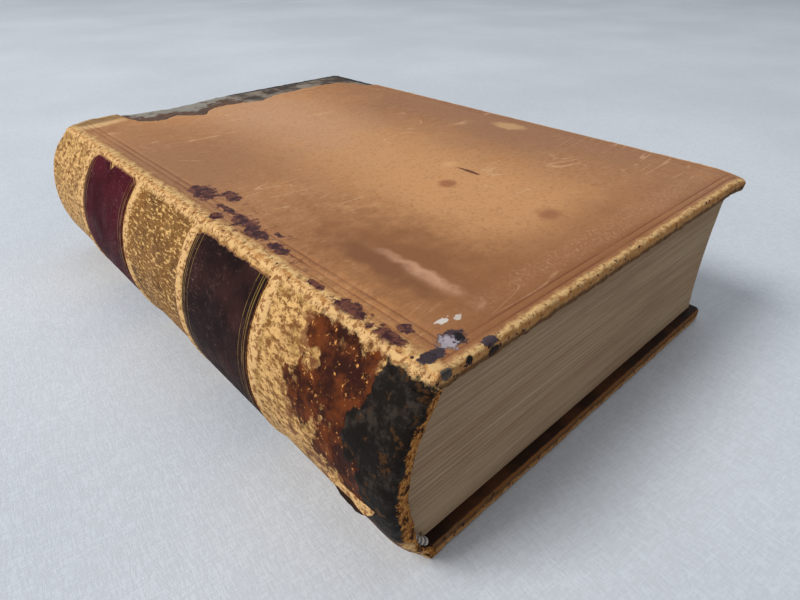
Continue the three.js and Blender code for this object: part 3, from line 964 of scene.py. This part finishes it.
def joint_finish(r):
    """Over the joint the back's leather gives way to the cover's."""
    p = r.rest()
    skin = use(r, grain, Vector=p, Scale=800.0)
    ragged = r.waver(r.axis(p, "X"), r.noise(p, 220.0, 4.0), 4 * mm)
    over = r.between(ragged, joint_x - 1.0 * mm, joint_x + 1.0 * mm)
    of_back, pale_back = back_colour(r, p, r.attribute("wear"))
    of_cover, _ = cover_colour(r, p)
    height = r.math("ADD", skin["Height"], r.noise(p, 1500.0, 4.0, 0.7))
    return {"Base Color": r.blend(over, of_back, of_cover), "Roughness": r.mix(pale_back, 0.7, 0.9),
            "Normal": r.bump(height, 0.6, 0.0003)}


leather_of_joints = material("joint leather", joint_finish, Specular_IOR_Level=0.1)

# %% [markdown]
# ## The back
#
# The back is one skin of leather, drawn tight over four low bands and turned in over the endbands as
# caps. Its outline from tail to head is the same at every height, so one profile is drawn and spun about
# the axis of the round. Only the profile's points are written out: the caps' hooks, and bands that rise
# as half a cosine wave. Noise then lets the skin sag between the bands.

# %% Make the back
LIP = 6.2
LIP_BY_BACK_JOINT = 3.2
HOOK_INNER = 2.8
SPINE_STEPS = 92
SPINE_THICK = 0.95
JOINT_SETBACK = 0.022
LABEL_CENTRES = (77.5, 169.5)
LABEL_HALF = 21


def band_rise(y):
    """How far a band lifts the leather, at y from the tail."""
    rise = 0.0
    for centre in band_centres:
        away = abs(y - centre) / (band_width / 2 + 0.6)
        if away < 1:
            rise = max(rise, band_height * 0.5 * (1 + math.cos(math.pi * away)))
    return rise


def spun(points, low_angle, high_angle, steps):
    """A sheet spun from a profile of (out, y) points about the back's axis, with its faces outwards."""
    bm = bmesh.new()
    row = [bm.verts.new(on_back(low_angle, y, out)) for out, y in points]
    edges = [bm.edges.new(pair) for pair in zip(row, row[1:])]
    bmesh.ops.spin(bm, geom=row + edges, cent=at(back_centre, 0, book_top / 2), axis=(0, 1, 0),
                   angle=high_angle - low_angle, steps=steps)
    bmesh.ops.recalc_face_normals(bm, faces=bm.faces)
    middle_face = min(bm.faces, key=lambda f: (f.calc_center_median() - on_back(0.0, book_height / 2)).length)
    if middle_face.normal.x > 0:
        bmesh.ops.reverse_faces(bm, faces=bm.faces)
    return bm


def back_place(v):
    """A vertex's angle about the back's axis, its distance from the tail and its height above the round."""
    x, y, z = book_place(v)
    across, up = back_centre - x, z - book_top / 2
    return math.atan2(up, across), y, math.hypot(across, up) - back_radius


def back_profile():
    """The outline from tail to head as (out, y): a hook round the endband, the bands, and the other hook."""
    hook = [(-LIP, 0.9), (-LIP + 0.9, 0.45), (-LIP + 1.9, 0.2), (-3.4, 0.05), (-2.7, 0.0)]
    tail_end = hook + [(-2.0, 0.15), (-1.35, 0.6), (-0.85, 1.3), (-0.5, 2.1), (-0.25, 3.2), (-0.1, 4.4)]
    middle = [(band_rise(5.5 + i), 5.5 + i) for i in range(int(book_height) - 10)]
    return tail_end + middle + [(out, book_height - y) for out, y in reversed(tail_end)]


def back_wear(v):
    angle, y, _ = back_place(v)
    ridges = max(math.exp(-(((y - c) / 2.9) ** 2)) for c in band_centres)
    joint = near((back_angle - abs(angle)) * back_radius, JOINT_WEAR * 0.8)
    ends = max(near(y, 0.8) * (0.0 if angle > -0.4 else 1.0), near(book_height - y, 2.0))
    return min(1.0, max(ridges, joint, ends))


def shorten_caps(bm):
    """Draws the caps' hooks in towards the back joint, where less leather is turned over."""
    for v in bm.verts:
        angle, y, out = back_place(v)
        if out < -HOOK_INNER:
            share = min(1.0, max(0.0, (angle + 0.62) / 0.3))
            deep = LIP_BY_BACK_JOINT + (LIP - LIP_BY_BACK_JOINT) * share
            out = -HOOK_INNER + (out + HOOK_INNER) * (deep - HOOK_INNER) / (LIP - HOOK_INNER)
            v.co = on_back(angle, y, out)


def dent_back(bm):
    """Lets the skin sag, nibbles its ends, roughens the crust and sinks the sides under the joint strips."""
    bm.normal_update()
    for v in bm.verts:
        angle, y, _ = back_place(v)
        labelled = any(abs(y - c) < LABEL_HALF and abs(angle) < 0.8 for c in LABEL_CENTRES)
        dents = 0.12 * rub(v.co, 16) + 0.05 * rub(v.co, 4.5, 4.0)
        end = max(near(y, 2.5), near(book_height - y, 2.5))
        nibbled = end * (0.35 * rub(v.co, 3.2, 8.0) + 0.22 * rub(v.co, 1.2, 12.0) - 0.15)
        crust = 0.25 * rub(v.co, 2.2, 6.0) * near(max(0.0, y - 12), 4.0) * (1 if angle > -0.2 else 0.3)
        sink = -0.5 * near((back_angle - abs(angle)) * back_radius, 1.6)
        amount = (dents * (0.15 if labelled else 1.0) + nibbled + crust * (1 - end) + sink) * mm
        v.co += v.normal * amount + worn_corner(v.co)


spin_angle = back_angle - JOINT_SETBACK
bm = spun(back_profile(), -spin_angle, spin_angle, SPINE_STEPS)
shorten_caps(bm)
paint(bm, "wear", back_wear)
paint(bm, "lip", lambda v: min(1.0, max(0.0, -back_place(v)[2] / 6)))
dent_back(bm)
spine = to_object(bm, "spine_skin", leather_of_back)
thicken(spine, SPINE_THICK)
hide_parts("spine_leather")
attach(spine, "text_block")
print("back:", len(spine.data.polygons), "faces")

# %% [markdown]
# ## The joints
#
# The leather runs on from the back over the joint to the cover, and bends there when the book opens. It
# is made as a strip of its own, so that only this strip has to bend: it lies a hair above both neighbours
# and thins out on each side. Its section is a short arc, a rounded corner and a flat.

# %% Make the joints
STRIP_ON_BACK = 4.6
STRIP_ON_COVER = 5.2
STRIP_LIFT = 0.16
STRIP_SUNK = 0.22
STRIP_THICK = 0.14
BEND_HALF = 1.5
CORNER_RADIUS = 3.2


def joint_section():
    """The strip's section as (x from the joint, z below the cover's face), from the back to the cover."""
    slope = math.pi / 2 - back_angle
    run_in = CORNER_RADIUS * math.tan(slope / 2)
    points = []
    for i in range(5):
        along = STRIP_ON_BACK - (STRIP_ON_BACK - run_in) * i / 4
        angle = back_angle - along / back_radius
        radius = back_radius + (-STRIP_SUNK if i == 0 else STRIP_LIFT)
        points.append((back_centre - radius * math.cos(angle), radius * math.sin(angle) - book_top / 2))
    centre_x, centre_z = run_in, STRIP_LIFT - CORNER_RADIUS
    for i in range(7):
        turn = slope * (1 - i / 6)
        points.append((centre_x - CORNER_RADIUS * math.sin(turn), centre_z + CORNER_RADIUS * math.cos(turn)))
    for share, height in ((0.35, STRIP_LIFT), (0.7, STRIP_LIFT * 0.6), (1.0, -STRIP_SUNK)):
        points.append((run_in + (STRIP_ON_COVER - run_in) * share, height))
    return points


def end_drop(x, y):
    """How far the strip sinks near the book's ends, where the back and the cover are both rounded over."""
    away = min(y, book_height - y)
    over_edge = max(0.0, EDGE_ROUND - away)
    on_cover = EDGE_ROUND - math.sqrt(max(0.0, EDGE_ROUND**2 - over_edge**2))
    on_back = 1.7 * max(0.0, 1 - away / 4.5) ** 2
    share = min(1.0, max(0.0, (x + 2.5) / 3.0))
    return on_back + (on_cover - on_back) * share


def make_joint(side):
    up = 1 if side == "front" else -1
    level = book_top if side == "front" else 0.0
    near_end = [0.3, 0.6, 1.0, 1.6, 2.4, 3.4]
    count = int(book_height - 9)
    rows = near_end + [4.5 + (book_height - 9) * i / count for i in range(count + 1)]
    rows += [book_height - y for y in reversed(near_end)]
    bm = bmesh.new()
    row = [bm.verts.new(at(x, rows[0], level + up * z)) for x, z in joint_section()]
    edges = [bm.edges.new(pair) for pair in zip(row, row[1:])]
    for y0, y1 in zip(rows, rows[1:]):
        made = bmesh.ops.extrude_edge_only(bm, edges=edges)["geom"]
        moved = [g for g in made if isinstance(g, bmesh.types.BMVert)]
        edges = [g for g in made if isinstance(g, bmesh.types.BMEdge) and all(v in moved for v in g.verts)]
        bmesh.ops.translate(bm, verts=moved, vec=(0, (y1 - y0) * mm, 0))
    bmesh.ops.recalc_face_normals(bm, faces=bm.faces)
    if sum(f.normal.z for f in bm.faces) * up < 0:
        bmesh.ops.reverse_faces(bm, faces=bm.faces)
    bm.normal_update()
    edge_x = {min(v.co.x for v in bm.verts), max(v.co.x for v in bm.verts)}

    def wear(v):
        x, y, _ = book_place(v)
        if x > 0:
            return max(near(x, JOINT_WEAR), near(y, 2.0), near(book_height - y, 3.0))
        return max(back_wear(v), near(-x, JOINT_WEAR * 0.8))

    paint(bm, "wear", wear)
    paint(bm, "tooling", lambda v: 0.0)
    paint(bm, "lip", lambda v: 0.0)
    keep_rest(bm)
    for v in bm.verts:
        x, y, _ = book_place(v)
        if v.co.x in edge_x:
            v.co.x += (0.6 * rub(v.co, 5.0, 3.0) + 0.3 * rub(v.co, 1.6, 5.0)) * mm
        end = max(near(y, 1.2), near(book_height - y, 1.2))
        hills = 0.06 * rub(v.co, 4.0, 2.0) + 0.05 * rub(v.co, 1.7, 4.0)
        lift = hills + end * 0.25 * rub(v.co, 1.6, 8.0) - end_drop(x, y)
        v.co += v.normal * mm * lift + worn_corner(v.co)
    piece = to_object(bm, f"{side}_joint_leather", leather_of_joints)
    thicken(piece, STRIP_THICK)
    start, end = at(-BEND_HALF, 0, level), at(BEND_HALF, 0, level)
    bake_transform(piece, "text_block", f"{side}_cover", start=start, end=end)
    return piece


for side in ("front", "back"):
    print("joint:", make_joint(side).name)

# %% [markdown]
# ## The labels
#
# Two thin pieces of dyed leather are pasted across the panels between the bands: black for the volume,
# red for the title. Each is spun like the back, a little further out. Its upper edge is then pulled in
# where it is worn, with a notch in the red one. Double gilt lines cross both ends: they are colour and
# not geometry, because gold leaf has no thickness, and noise breaks them where the gold is rubbed off.
# The labels carry no lettering.

# %% Make the labels
LABEL_OUT = 0.26
LABEL_THICK = 0.34
LABEL_SHEET = 0.3
GILT_LINES = [(1.2, 0.22), (2.1, 0.16), (4.0, 0.14)]
# The slit in the red label is only painted: a near-black patch stands for the shade inside the cut.
SLIT = on_back(-0.1, 171.5, 0.5)


def make_label(node, name, finish, top_edge):
    low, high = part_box(node)
    y0, y1 = (low.y - tail_y) / mm, (high.y - tail_y) / mm
    reach = math.asin((high.z - low.z) / 2 / mm / (back_radius + LABEL_OUT))
    count = round(y1 - y0)
    flat = [(LABEL_OUT + LABEL_THICK, y0 + (y1 - y0) * i / count) for i in range(1, count)]
    top_out = LABEL_OUT + LABEL_THICK * 0.85
    bm = spun([(LABEL_OUT, y0), (top_out, y0 + 0.25)] + flat + [(top_out, y1 - 0.25), (LABEL_OUT, y1)],
              -reach, reach, 60)

    def wear(v):
        angle, y, _ = back_place(v)
        return max(near((reach - abs(angle)) * back_radius, 1.2), near(min(y - y0, y1 - y), 0.5))

    paint(bm, "wear", wear)
    for v in bm.verts:
        angle, y, out = back_place(v)
        limit = top_edge(y, y0, y1) if angle > 0 else 0.6 * rub(v.co, 2.4, 20.0)
        moved = angle * (1 + limit / (reach * back_radius)) if angle else 0.0
        wobble = 0.05 * rub(v.co, 5.0) + 0.03 * rub(v.co, 1.8, 4.0)
        v.co = on_back(moved, y, out + wobble)
    piece = to_object(bm, name, finish)
    thicken(piece, LABEL_SHEET)
    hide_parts(node)
    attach(piece, "text_block")
    return piece


def red_edge(y, y0, y1):
    notch = -2.6 * max(0.0, 1 - abs(y - (y0 + 23.5)) / 2.6)
    corner = -4.5 * max(0.0, (y - (y1 - 6)) / 6) ** 2
    other = -1.4 * max(0.0, 1 - (y - y0) / 3)
    return 1.0 + notch + corner + other + 0.3 * rub(Vector((y * mm, 0, 0)), 2.0)


def black_edge(y, y0, y1):
    return -0.1 + 0.7 * rub(Vector((y * mm, 0, 0)), 1.7, 5.0) - 1.6 * max(0.0, 1 - (y1 - y) / 3)


def gilding(r, y, low, high, lines):
    """A mask of gilt lines at distances in millimetres from both ends of a label."""
    mask = None
    for distance, half in lines:
        for place_y in (low + distance * mm, high - distance * mm):
            away = r.math("ABSOLUTE", r.math("SUBTRACT", y, place_y))
            line = r.between(away, half * mm, half * mm * 0.5)
            mask = line if mask is None else r.math("MAXIMUM", mask, line)
    return mask


def label_material(name, node, dark, light, painted_sheen_tint):
    low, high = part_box(node)

    def finish(r):
        p = r.coordinates()
        skin = use(r, grain, Vector=p, Scale=1000.0)
        colour = r.blend(r.between(r.noise(p, 45.0, 6.0, 0.65), 0.35, 0.66), dark, light)
        # Painted sheen: islands of a lighter tint stand in for light glancing off the label.
        colour = r.lay(colour, painted_sheen_tint, islands(r, p, 500.0, 0.6), 0.35)
        fibres = r.noise(r.stretch(p, (0.6, 0.3, 1.3), (0.8, 0.0, 0.0)), 1300.0, 4.0, 0.65)
        scuffed = r.between(r.noise(p, 60.0, 4.0), 0.45, 0.65)
        colour = r.lay(colour, rgb(150, 118, 104), r.between(fibres, 0.56, 0.66), scuffed, 0.34)
        gold = gilding(r, r.axis(p, "Y"), low.y, high.y, GILT_LINES)
        gold = r.times(gold, r.between(r.noise(p, 240.0, 4.0, 0.6), 0.38, 0.56, 0.25, 1.0))
        colour = r.blend(gold, colour, rgb(158, 126, 66))
        edge = use(r, worn, Vector=p, Nearness=r.attribute("wear"), Limit=0.8, Detail=420.0, Ragged=0.8,
                   Softness=0.06)["Mask"]
        colour = r.lay(colour, rgb(168, 120, 84), edge, 0.7)
        # Painted shade: the slit has no depth, so the shade inside it is a near-black patch.
        colour = r.blend(patch(r, p, SLIT, (4, 1.3, 2.2), 0.5, 0.1, 500.0), colour, rgb(8, 5, 5))
        roughness = r.mix(gold, r.between(skin["Slow"], 0.3, 0.7, 0.5, 0.66), 0.42)
        return {"Base Color": colour, "Roughness": roughness, "Metallic": r.times(gold, 0.7),
                "Normal": r.bump(skin["Height"], 0.35, 0.00018)}

    return material(name, finish, Specular_IOR_Level=0.04)


# Each label's dark and light colours, then the lighter tint of its painted sheen.
BLACKS = rgb(30, 18, 18), rgb(58, 34, 31), rgb(88, 62, 54)
REDS = rgb(50, 9, 18), rgb(74, 20, 30), rgb(106, 48, 58)
black = label_material("black label leather", "lower_label", *BLACKS)
red = label_material("red label leather", "upper_label", *REDS)
lower_label = make_label("lower_label", "lower_label_skin", black, black_edge)
upper_label = make_label("upper_label", "upper_label_skin", red, red_edge)
print("labels:", lower_label.name, upper_label.name)

# %% [markdown]
# ## A lifted flake
#
# Low on the back, near the tail, a flake of the grain layer has come away below and stands off the skin,
# with shade under it. It is a grid bent round the back: its upper edge lies on the skin and its lower
# edge lifts.

# %% Make the lifted flake
FLAKE_DEEP = 6.0
FLAKE_THICK = 0.3


def make_flake():
    bm = bmesh.new()
    bmesh.ops.create_grid(bm, x_segments=26, y_segments=6, size=1.0)
    for v in bm.verts:
        along, across = (v.co.x + 1) / 2, (1 - v.co.y) / 2
        y = FLAKE[0] + (FLAKE[1] - FLAKE[0]) * along
        arch = math.sin(math.pi * along) ** 0.7 if 0 < along < 1 else 0.0
        deep = FLAKE_DEEP * arch + 0.5 * rub(Vector((y * mm, across * mm, 0)), 2.5, 1.0)
        lift = 0.12 + 1.0 * arch * across**2 + 0.18 * across * rub(Vector((y * mm, 0, 0)), 2.0, 6.0)
        v.co = on_back(-0.10 - 0.08 * along - across * deep / back_radius, y, lift)
    bmesh.ops.recalc_face_normals(bm, faces=bm.faces)
    if sum(f.normal.x for f in bm.faces) > 0:
        bmesh.ops.reverse_faces(bm, faces=bm.faces)
    paint(bm, "wear", lambda v: 0.75)
    paint(bm, "lip", lambda v: 0.0)
    piece = to_object(bm, "lifted_flake", leather_of_back)
    thicken(piece, FLAKE_THICK)
    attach(piece, "text_block")
    return piece


print("flake:", make_flake().name)

# %% [markdown]
# ## The leaves
#
# The text block is gatherings of folded leaves. Hundreds of separate leaves would cost far too many
# faces, and nobody could see them, so each gathering is one closed block whose tail, head and fore edges
# are scored: a cut at each bundle of leaves, and every second line of vertices pushed in. The slant of
# its fore edge and of its fold is read from the frame. Each gathering stands in or out by a tenth of a
# millimetre, which gives the tail its faint bands.

# %% The paper
SCORE = 0.07
BUNDLE = 0.27
LEAF_BEND = (0.3, 34)


def leaf_edges(r, p):
    """The cut edges of the leaves: fine lines along the boards, a few of them darker."""
    lines = r.noise(r.stretch(p, (0.05, 0.05, 7.0)), 480.0, 4.0, 0.75)
    bands = r.noise(r.stretch(p, (0.05, 0.05, 3.0)), 130.0, 3.0, 0.6)
    colour = r.blend(r.between(bands, 0.35, 0.65), rgb(166, 136, 106), rgb(180, 154, 124))
    colour = r.lay(colour, rgb(122, 96, 70), r.between(lines, 0.5, 0.66), 0.42)
    colour = r.lay(colour, rgb(204, 184, 152), r.between(lines, 0.5, 0.36), 0.3)
    dust = r.between(r.noise(r.stretch(p, (0.5, 0.5, 1.6)), 45.0, 5.0, 0.6), 0.44, 0.7)
    colour = r.lay(colour, rgb(140, 112, 84), dust, 0.35)
    return {"Base Color": colour, "Roughness": r.between(bands, 0.3, 0.7, 0.86, 0.96),
            "Normal": r.bump(lines, 0.5, 0.0003)}


def page(r, p):
    """A leaf seen flat: cream, browner towards its margins, foxed in places."""
    place_xy = r.node("ShaderNodeSeparateXYZ", {"Vector": p}).outputs
    from_fore = r.between(place_xy["X"], at(134, 0, 0).x, at(150, 0, 0).x)
    from_middle = r.math("ABSOLUTE", r.math("SUBTRACT", place_xy["Y"], tail_y + book_height / 2 * mm))
    margin = r.math("MAXIMUM", from_fore, r.between(from_middle, 98 * mm, 115 * mm))
    browned = r.math("ADD", margin, r.math("SUBTRACT", r.noise(p, 30.0, 5.0, 0.6), 0.5))
    cloud = r.noise(p, 16.0, 4.0, 0.55)
    colour = r.blend(r.between(cloud, 0.3, 0.7), rgb(212, 196, 162), rgb(224, 211, 180))
    colour = r.lay(colour, rgb(176, 142, 98), r.between(browned, 0.35, 1.2), 0.6)
    colour = r.lay(colour, rgb(170, 124, 78), islands(r, p, 150.0, 0.7, 0.03), 0.55)
    fibres = r.noise(r.stretch(p, (1.0, 3.0, 1.0), (0.0, 0.0, 0.4)), 700.0, 4.0, 0.6)
    return {"Base Color": colour, "Roughness": r.between(fibres, 0.3, 0.7, 0.84, 0.95),
            "Normal": r.bump(fibres, 0.3, 0.0002)}


paper_edges = material("text paper edges", lambda r: leaf_edges(r, r.rest()), Specular_IOR_Level=0.2)
paper_pages = material("text paper pages", lambda r: page(r, r.rest()), Specular_IOR_Level=0.2)
paper_folds = material("text paper folds", lambda r: leaf_edges(r, r.coordinates()), Specular_IOR_Level=0.2)


def end_x(node):
    """Where a node's leaves begin and end, as ((fold, fore edge) at its underside, the same at its top)."""
    low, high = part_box(node)
    middle = (low.z + high.z) / 2
    co = [v.co for v in frame["nodes"][node].data.vertices]
    under = [c.x for c in co if c.z < middle]
    over = [c.x for c in co if c.z > middle]
    return (min(under), max(under)), (min(over), max(over))


def make_leaves(node, body, index, fill):
    """One gathering or one leaf, as a scored block. fill closes the gap of glue between neighbours."""
    low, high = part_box(node)
    (fold_low, fore_low), (fold_high, fore_high) = end_x(node)
    bm = bmesh.new()
    bmesh.ops.create_cube(bm, size=1.0)
    shift_y = 0.06 * mm * noise.noise(Vector((index * 1.7, 0.3, 0.1)))
    shift_x = 0.12 * mm * noise.noise(Vector((0.2, index * 1.3, 0.7)))
    for v in bm.verts:
        top = v.co.z > 0
        outer = v.co.x > 0
        x = (fore_high if outer else fold_high) if top else (fore_low if outer else fold_low)
        x += shift_x if outer else 0.0
        y = (high.y if v.co.y > 0 else low.y) + shift_y
        v.co = Vector((x, y, high.z + fill if top else low.z - fill))
    levels = 2 * max(1, round((high.z - low.z) / (BUNDLE * mm)))
    for i in range(1, levels):
        cut(bm, Vector((0, 0, low.z + (high.z - low.z) * i / levels)), (0, 0, 1))
    for i in range(1, 16):
        cut(bm, at(i * 10.0, 0, 0), (1, 0, 0))
    keep_rest(bm)
    centre_y = (low.y + high.y) / 2
    for v in bm.verts:
        level = round((v.co.z - low.z) / (high.z - low.z) * levels)
        if level % 2 == 0 and 0 < level < levels:
            v.co.y += SCORE * mm * (1 if v.co.y < centre_y else -1)
            if v.co.x > 0 and v.co.x > fore_low - 2 * mm:
                v.co.x -= SCORE * mm
        v.co.y += 0.05 * mm * rub(v.co, 12.0, index * 0.37)
    for f in bm.faces:
        f.material_index = 1 if abs(f.normal.z) > 0.9 else 0
    piece = to_object(bm, node + "_leaves", paper_edges, paper_pages, smooth=False)
    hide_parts(node)
    if body == "text_block":
        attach(piece, body)
    else:
        start, end = (at(x, 0, (low.z + high.z) / 2 / mm) for x in LEAF_BEND)
        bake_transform(piece, "text_block", body, start=start, end=end)
    return piece


# %% [markdown]
# ### One block to each gathering
#
# The frame says which body each gathering belongs to. Those that turn with a cover bend near their fold,
# and the others stay with the text block, where a little extra thickness fills the glue between them.

# %% Make the gatherings and the free endpapers
GLUE = 0.055
LOOSE = 0.02
bodies = frame["record"]["behaviour"]["bodies"]
leaf_nodes = sorted(n for n in frame["nodes"] if "gathering" in n or "free_endpaper" in n)
gatherings = []
for index, node in enumerate(leaf_nodes):
    body = next(b for b, members in bodies.items() if node in members)
    gatherings.append(make_leaves(node, body, index, (GLUE if body == "text_block" else LOOSE) * mm))
print("gatherings and endpapers:", len(gatherings))

# %% [markdown]
# ## The endbands
#
# An endband is thread wound tightly over a core at each end of the back, white and grey in turn. It is a
# round spun through the arc of the back, and its turns come from swelling each step of the spin: one step
# in three stays thin, as the valley between two turns. Which colour a turn has is painted as an
# attribute.

# %% Make the endbands
TURN_STEPS = 3
WRAPS = 92
VALLEY = 0.86


def thread_finish(r):
    p = r.coordinates()
    twist = r.noise(r.stretch(p, (2.0, 1.0, 1.0), (0.3, 0.0, 0.0)), 1400.0, 3.0)
    colour = r.blend(r.between(r.attribute("stripe"), 0.4, 0.6), rgb(206, 198, 186), rgb(112, 108, 108))
    colour = r.blend(islands(r, p, 300.0, 0.58, 0.05), colour, rgb(120, 92, 62))
    return {"Base Color": colour, "Roughness": r.between(twist, 0.3, 0.7, 0.75, 0.95),
            "Normal": r.bump(twist, 0.5, 0.0002)}


thread = material("endband thread", thread_finish)


def make_endband(end):
    node = f"{end}_endband"
    low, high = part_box(node)
    radius = (high.y - low.y) / 2 / mm
    centre_y = ((high.y + low.y) / 2 - tail_y) / mm
    outermost = (joint_x + back_centre * mm - low.x) / mm
    reach = math.asin((high.z - low.z) / 2 / mm / outermost)
    bm = bmesh.new()
    section = bmesh.ops.create_circle(bm, segments=10, radius=radius * mm)["verts"]
    bmesh.ops.translate(bm, verts=section, vec=on_back(0.0, centre_y, outermost - radius - back_radius))
    middle = at(back_centre, 0, book_top / 2)
    bmesh.ops.rotate(bm, verts=section, cent=middle, matrix=Matrix.Rotation(-reach, 3, "Y"))
    steps = WRAPS * TURN_STEPS
    bmesh.ops.spin(bm, geom=section + list({e for v in section for e in v.link_edges}), cent=middle,
                   axis=(0, 1, 0), angle=2 * reach, steps=steps)
    bmesh.ops.holes_fill(bm, edges=[e for e in bm.edges if e.is_boundary])
    bmesh.ops.recalc_face_normals(bm, faces=bm.faces)

    def turn(v):
        return (back_place(v)[0] + reach) / (2 * reach) * steps

    paint(bm, "stripe", lambda v: float(int(turn(v) / TURN_STEPS / 2 + 0.01) % 2))
    for v in bm.verts:
        angle = back_place(v)[0]
        core = on_back(angle, centre_y, outermost - radius - back_radius)
        swell = VALLEY if round(turn(v)) % TURN_STEPS == 0 else 1.0
        v.co = core + (v.co - core) * swell
    piece = to_object(bm, f"{end}_endband_thread", thread)
    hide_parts(node)
    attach(piece, "text_block")
    return piece


for end in ("tail", "head"):
    print("endband:", make_endband(end).name)

# %% [markdown]
# ## Finishes for the carried pieces
#
# The pieces that only show when a cover is open keep the frame's own shapes: the pastedowns, the boards'
# infills, the back board, the mull, the cords and stitches, the hollow and the cores of the bands. Each
# gets a finish of its own.

# %% Finish the carried pieces
def mull_finish(r):
    p = r.coordinates()
    weave = r.cells(p, 700.0)
    colour = r.blend(weave, rgb(196, 186, 160), rgb(150, 138, 112))
    return {"Base Color": colour, "Roughness": r.between(weave, 0.0, 1.0, 0.85, 0.95),
            "Normal": r.bump(weave, 0.8, 0.0003)}


def cord_finish(r):
    p = r.coordinates()
    twist = r.noise(r.stretch(p, (1.0, 3.0, 1.0), (0.5, 0.0, 0.3)), 900.0, 3.0, 0.6)
    colour = r.blend(twist, rgb(150, 124, 84), rgb(206, 184, 140))
    return {"Base Color": colour, "Roughness": r.between(twist, 0.3, 0.7, 0.8, 0.95),
            "Normal": r.bump(twist, 0.8, 0.0003)}


endpaper = material("endpaper", lambda r: page(r, r.coordinates()), Specular_IOR_Level=0.2)
mull = material("mull", mull_finish)
cord = material("cord", cord_finish)
carried = {
    endpaper: ["pastedown"],
    pulp_board: ["back_board", "infill", "hollow_back", "raised_band"],
    mull: ["mull"],
    cord: ["sewing_cord", "kettle_stitch"],
    paper_folds: ["shoulder_folds"],
}
for finish, words in carried.items():
    for name, node in frame["nodes"].items():
        if any(word in name for word in words):
            node.data.materials.clear()
            node.data.materials.append(finish)

# %% [markdown]
# ## The table
#
# The book lies on pale cotton cloth. Its weave is two noises stretched along the threads, crossing, in
# the colour and the bump: it is too fine to model.

# %% Lay the cloth
def cotton(r):
    p = r.coordinates()
    turned = r.stretch(p, turn=(0.0, 0.0, 0.12))
    threads = [r.noise(r.stretch(turned, scale), 1500.0, 4.0, 0.7) for scale in ((1, 0.2, 1), (0.2, 1, 1))]
    weave = r.between(r.math("ADD", threads[0], threads[1]), 0.8, 1.2)
    slow = r.between(r.noise(p, 5.0, 4.0, 0.5), 0.35, 0.7)
    colour = r.blend(slow, rgb(201, 208, 216), rgb(211, 218, 226))
    colour = r.lay(colour, rgb(172, 176, 184), weave, 0.3)
    folds = r.noise(r.stretch(p, (1.0, 2.4, 1.0), (0.0, 0.0, 0.6)), 6.0, 3.0, 0.5)
    height = r.math("ADD", r.times(weave, 0.03), folds)
    return {"Base Color": colour, "Roughness": r.between(slow, 0.0, 1.0, 0.85, 0.95),
            "Normal": r.bump(height, 0.4, 0.006)}


bm = bmesh.new()
bmesh.ops.create_grid(bm, x_segments=24, y_segments=24, size=8.0)
bmesh.ops.translate(bm, verts=bm.verts, vec=(0, 0, -0.35 * mm))
cloth = to_object(bm, "cloth_floor", material("cotton cloth", cotton))

# %% [markdown]
# ## The light
#
# The light is a large soft window high up on the side of the back, towards the head, so the tail face
# stays in shade. A weak light overhead, a weaker one low down and a pale world keep the shade open.

# %% Light it
def area_light(name, place, towards, size, power, colour):
    lamp = bpy.data.lights.new(name, "AREA")
    lamp.shape = "SQUARE"
    lamp.size = size
    lamp.energy = power
    lamp.color = colour
    made = bpy.data.objects.new(name, lamp)
    made.location = place
    made.rotation_euler = (Vector(towards) - Vector(place)).to_track_quat("-Z", "Y").to_euler()
    bpy.context.scene.collection.objects.link(made)
    return made


middle = Vector((0, 0, book_top / 2 * mm))
area_light("window", (-2.0, 0.8, 2.6), middle, 1.2, 85.0, (1.0, 0.985, 0.96))
area_light("sky", (0.5, 0.2, 2.2), middle, 1.8, 9.0, (0.96, 0.98, 1.0))
area_light("fill", (-1.3, -0.1, 0.4), middle, 0.8, 2.4, (1.0, 0.97, 0.93))
world = bpy.data.worlds.new("pale room")
world.use_nodes = True
background = world.node_tree.nodes["Background"]
background.inputs["Color"].default_value = (0.93, 0.95, 1.0, 1.0)
background.inputs["Strength"].default_value = 0.3
bpy.context.scene.world = world
bpy.context.scene.view_settings.view_transform = "Standard"

# %% [markdown]
# ## The camera
#
# It looks down at the tail corner of the back from close by with a wide lens, so the near corner is large
# and the far one small. Its place is given from the joint, the tail edge and the table, and its tilt
# about its own view is half a degree.

# %% Set the camera
LENS = 24.84
CAMERA_PLACE = at(-59.0, -54.3, 131.6)
CAMERA_TARGET = at(44.7, 59.9, 30.0)
CAMERA_ROLL = math.radians(-0.53)
lens = bpy.data.cameras.new("camera")
lens.sensor_width = 36.0
lens.lens = LENS
lens.clip_start = 0.005
forward = (CAMERA_TARGET - CAMERA_PLACE).normalized()
level = forward.cross(Vector((0, 0, 1))).normalized()
right = Matrix.Rotation(-CAMERA_ROLL, 3, forward) @ level
turned = Matrix((right, right.cross(forward), -forward)).transposed()
camera = bpy.data.objects.new("camera", lens)
camera.matrix_world = Matrix.Translation(CAMERA_PLACE) @ turned.to_4x4()
bpy.context.scene.collection.objects.link(camera)
bpy.context.scene.camera = camera
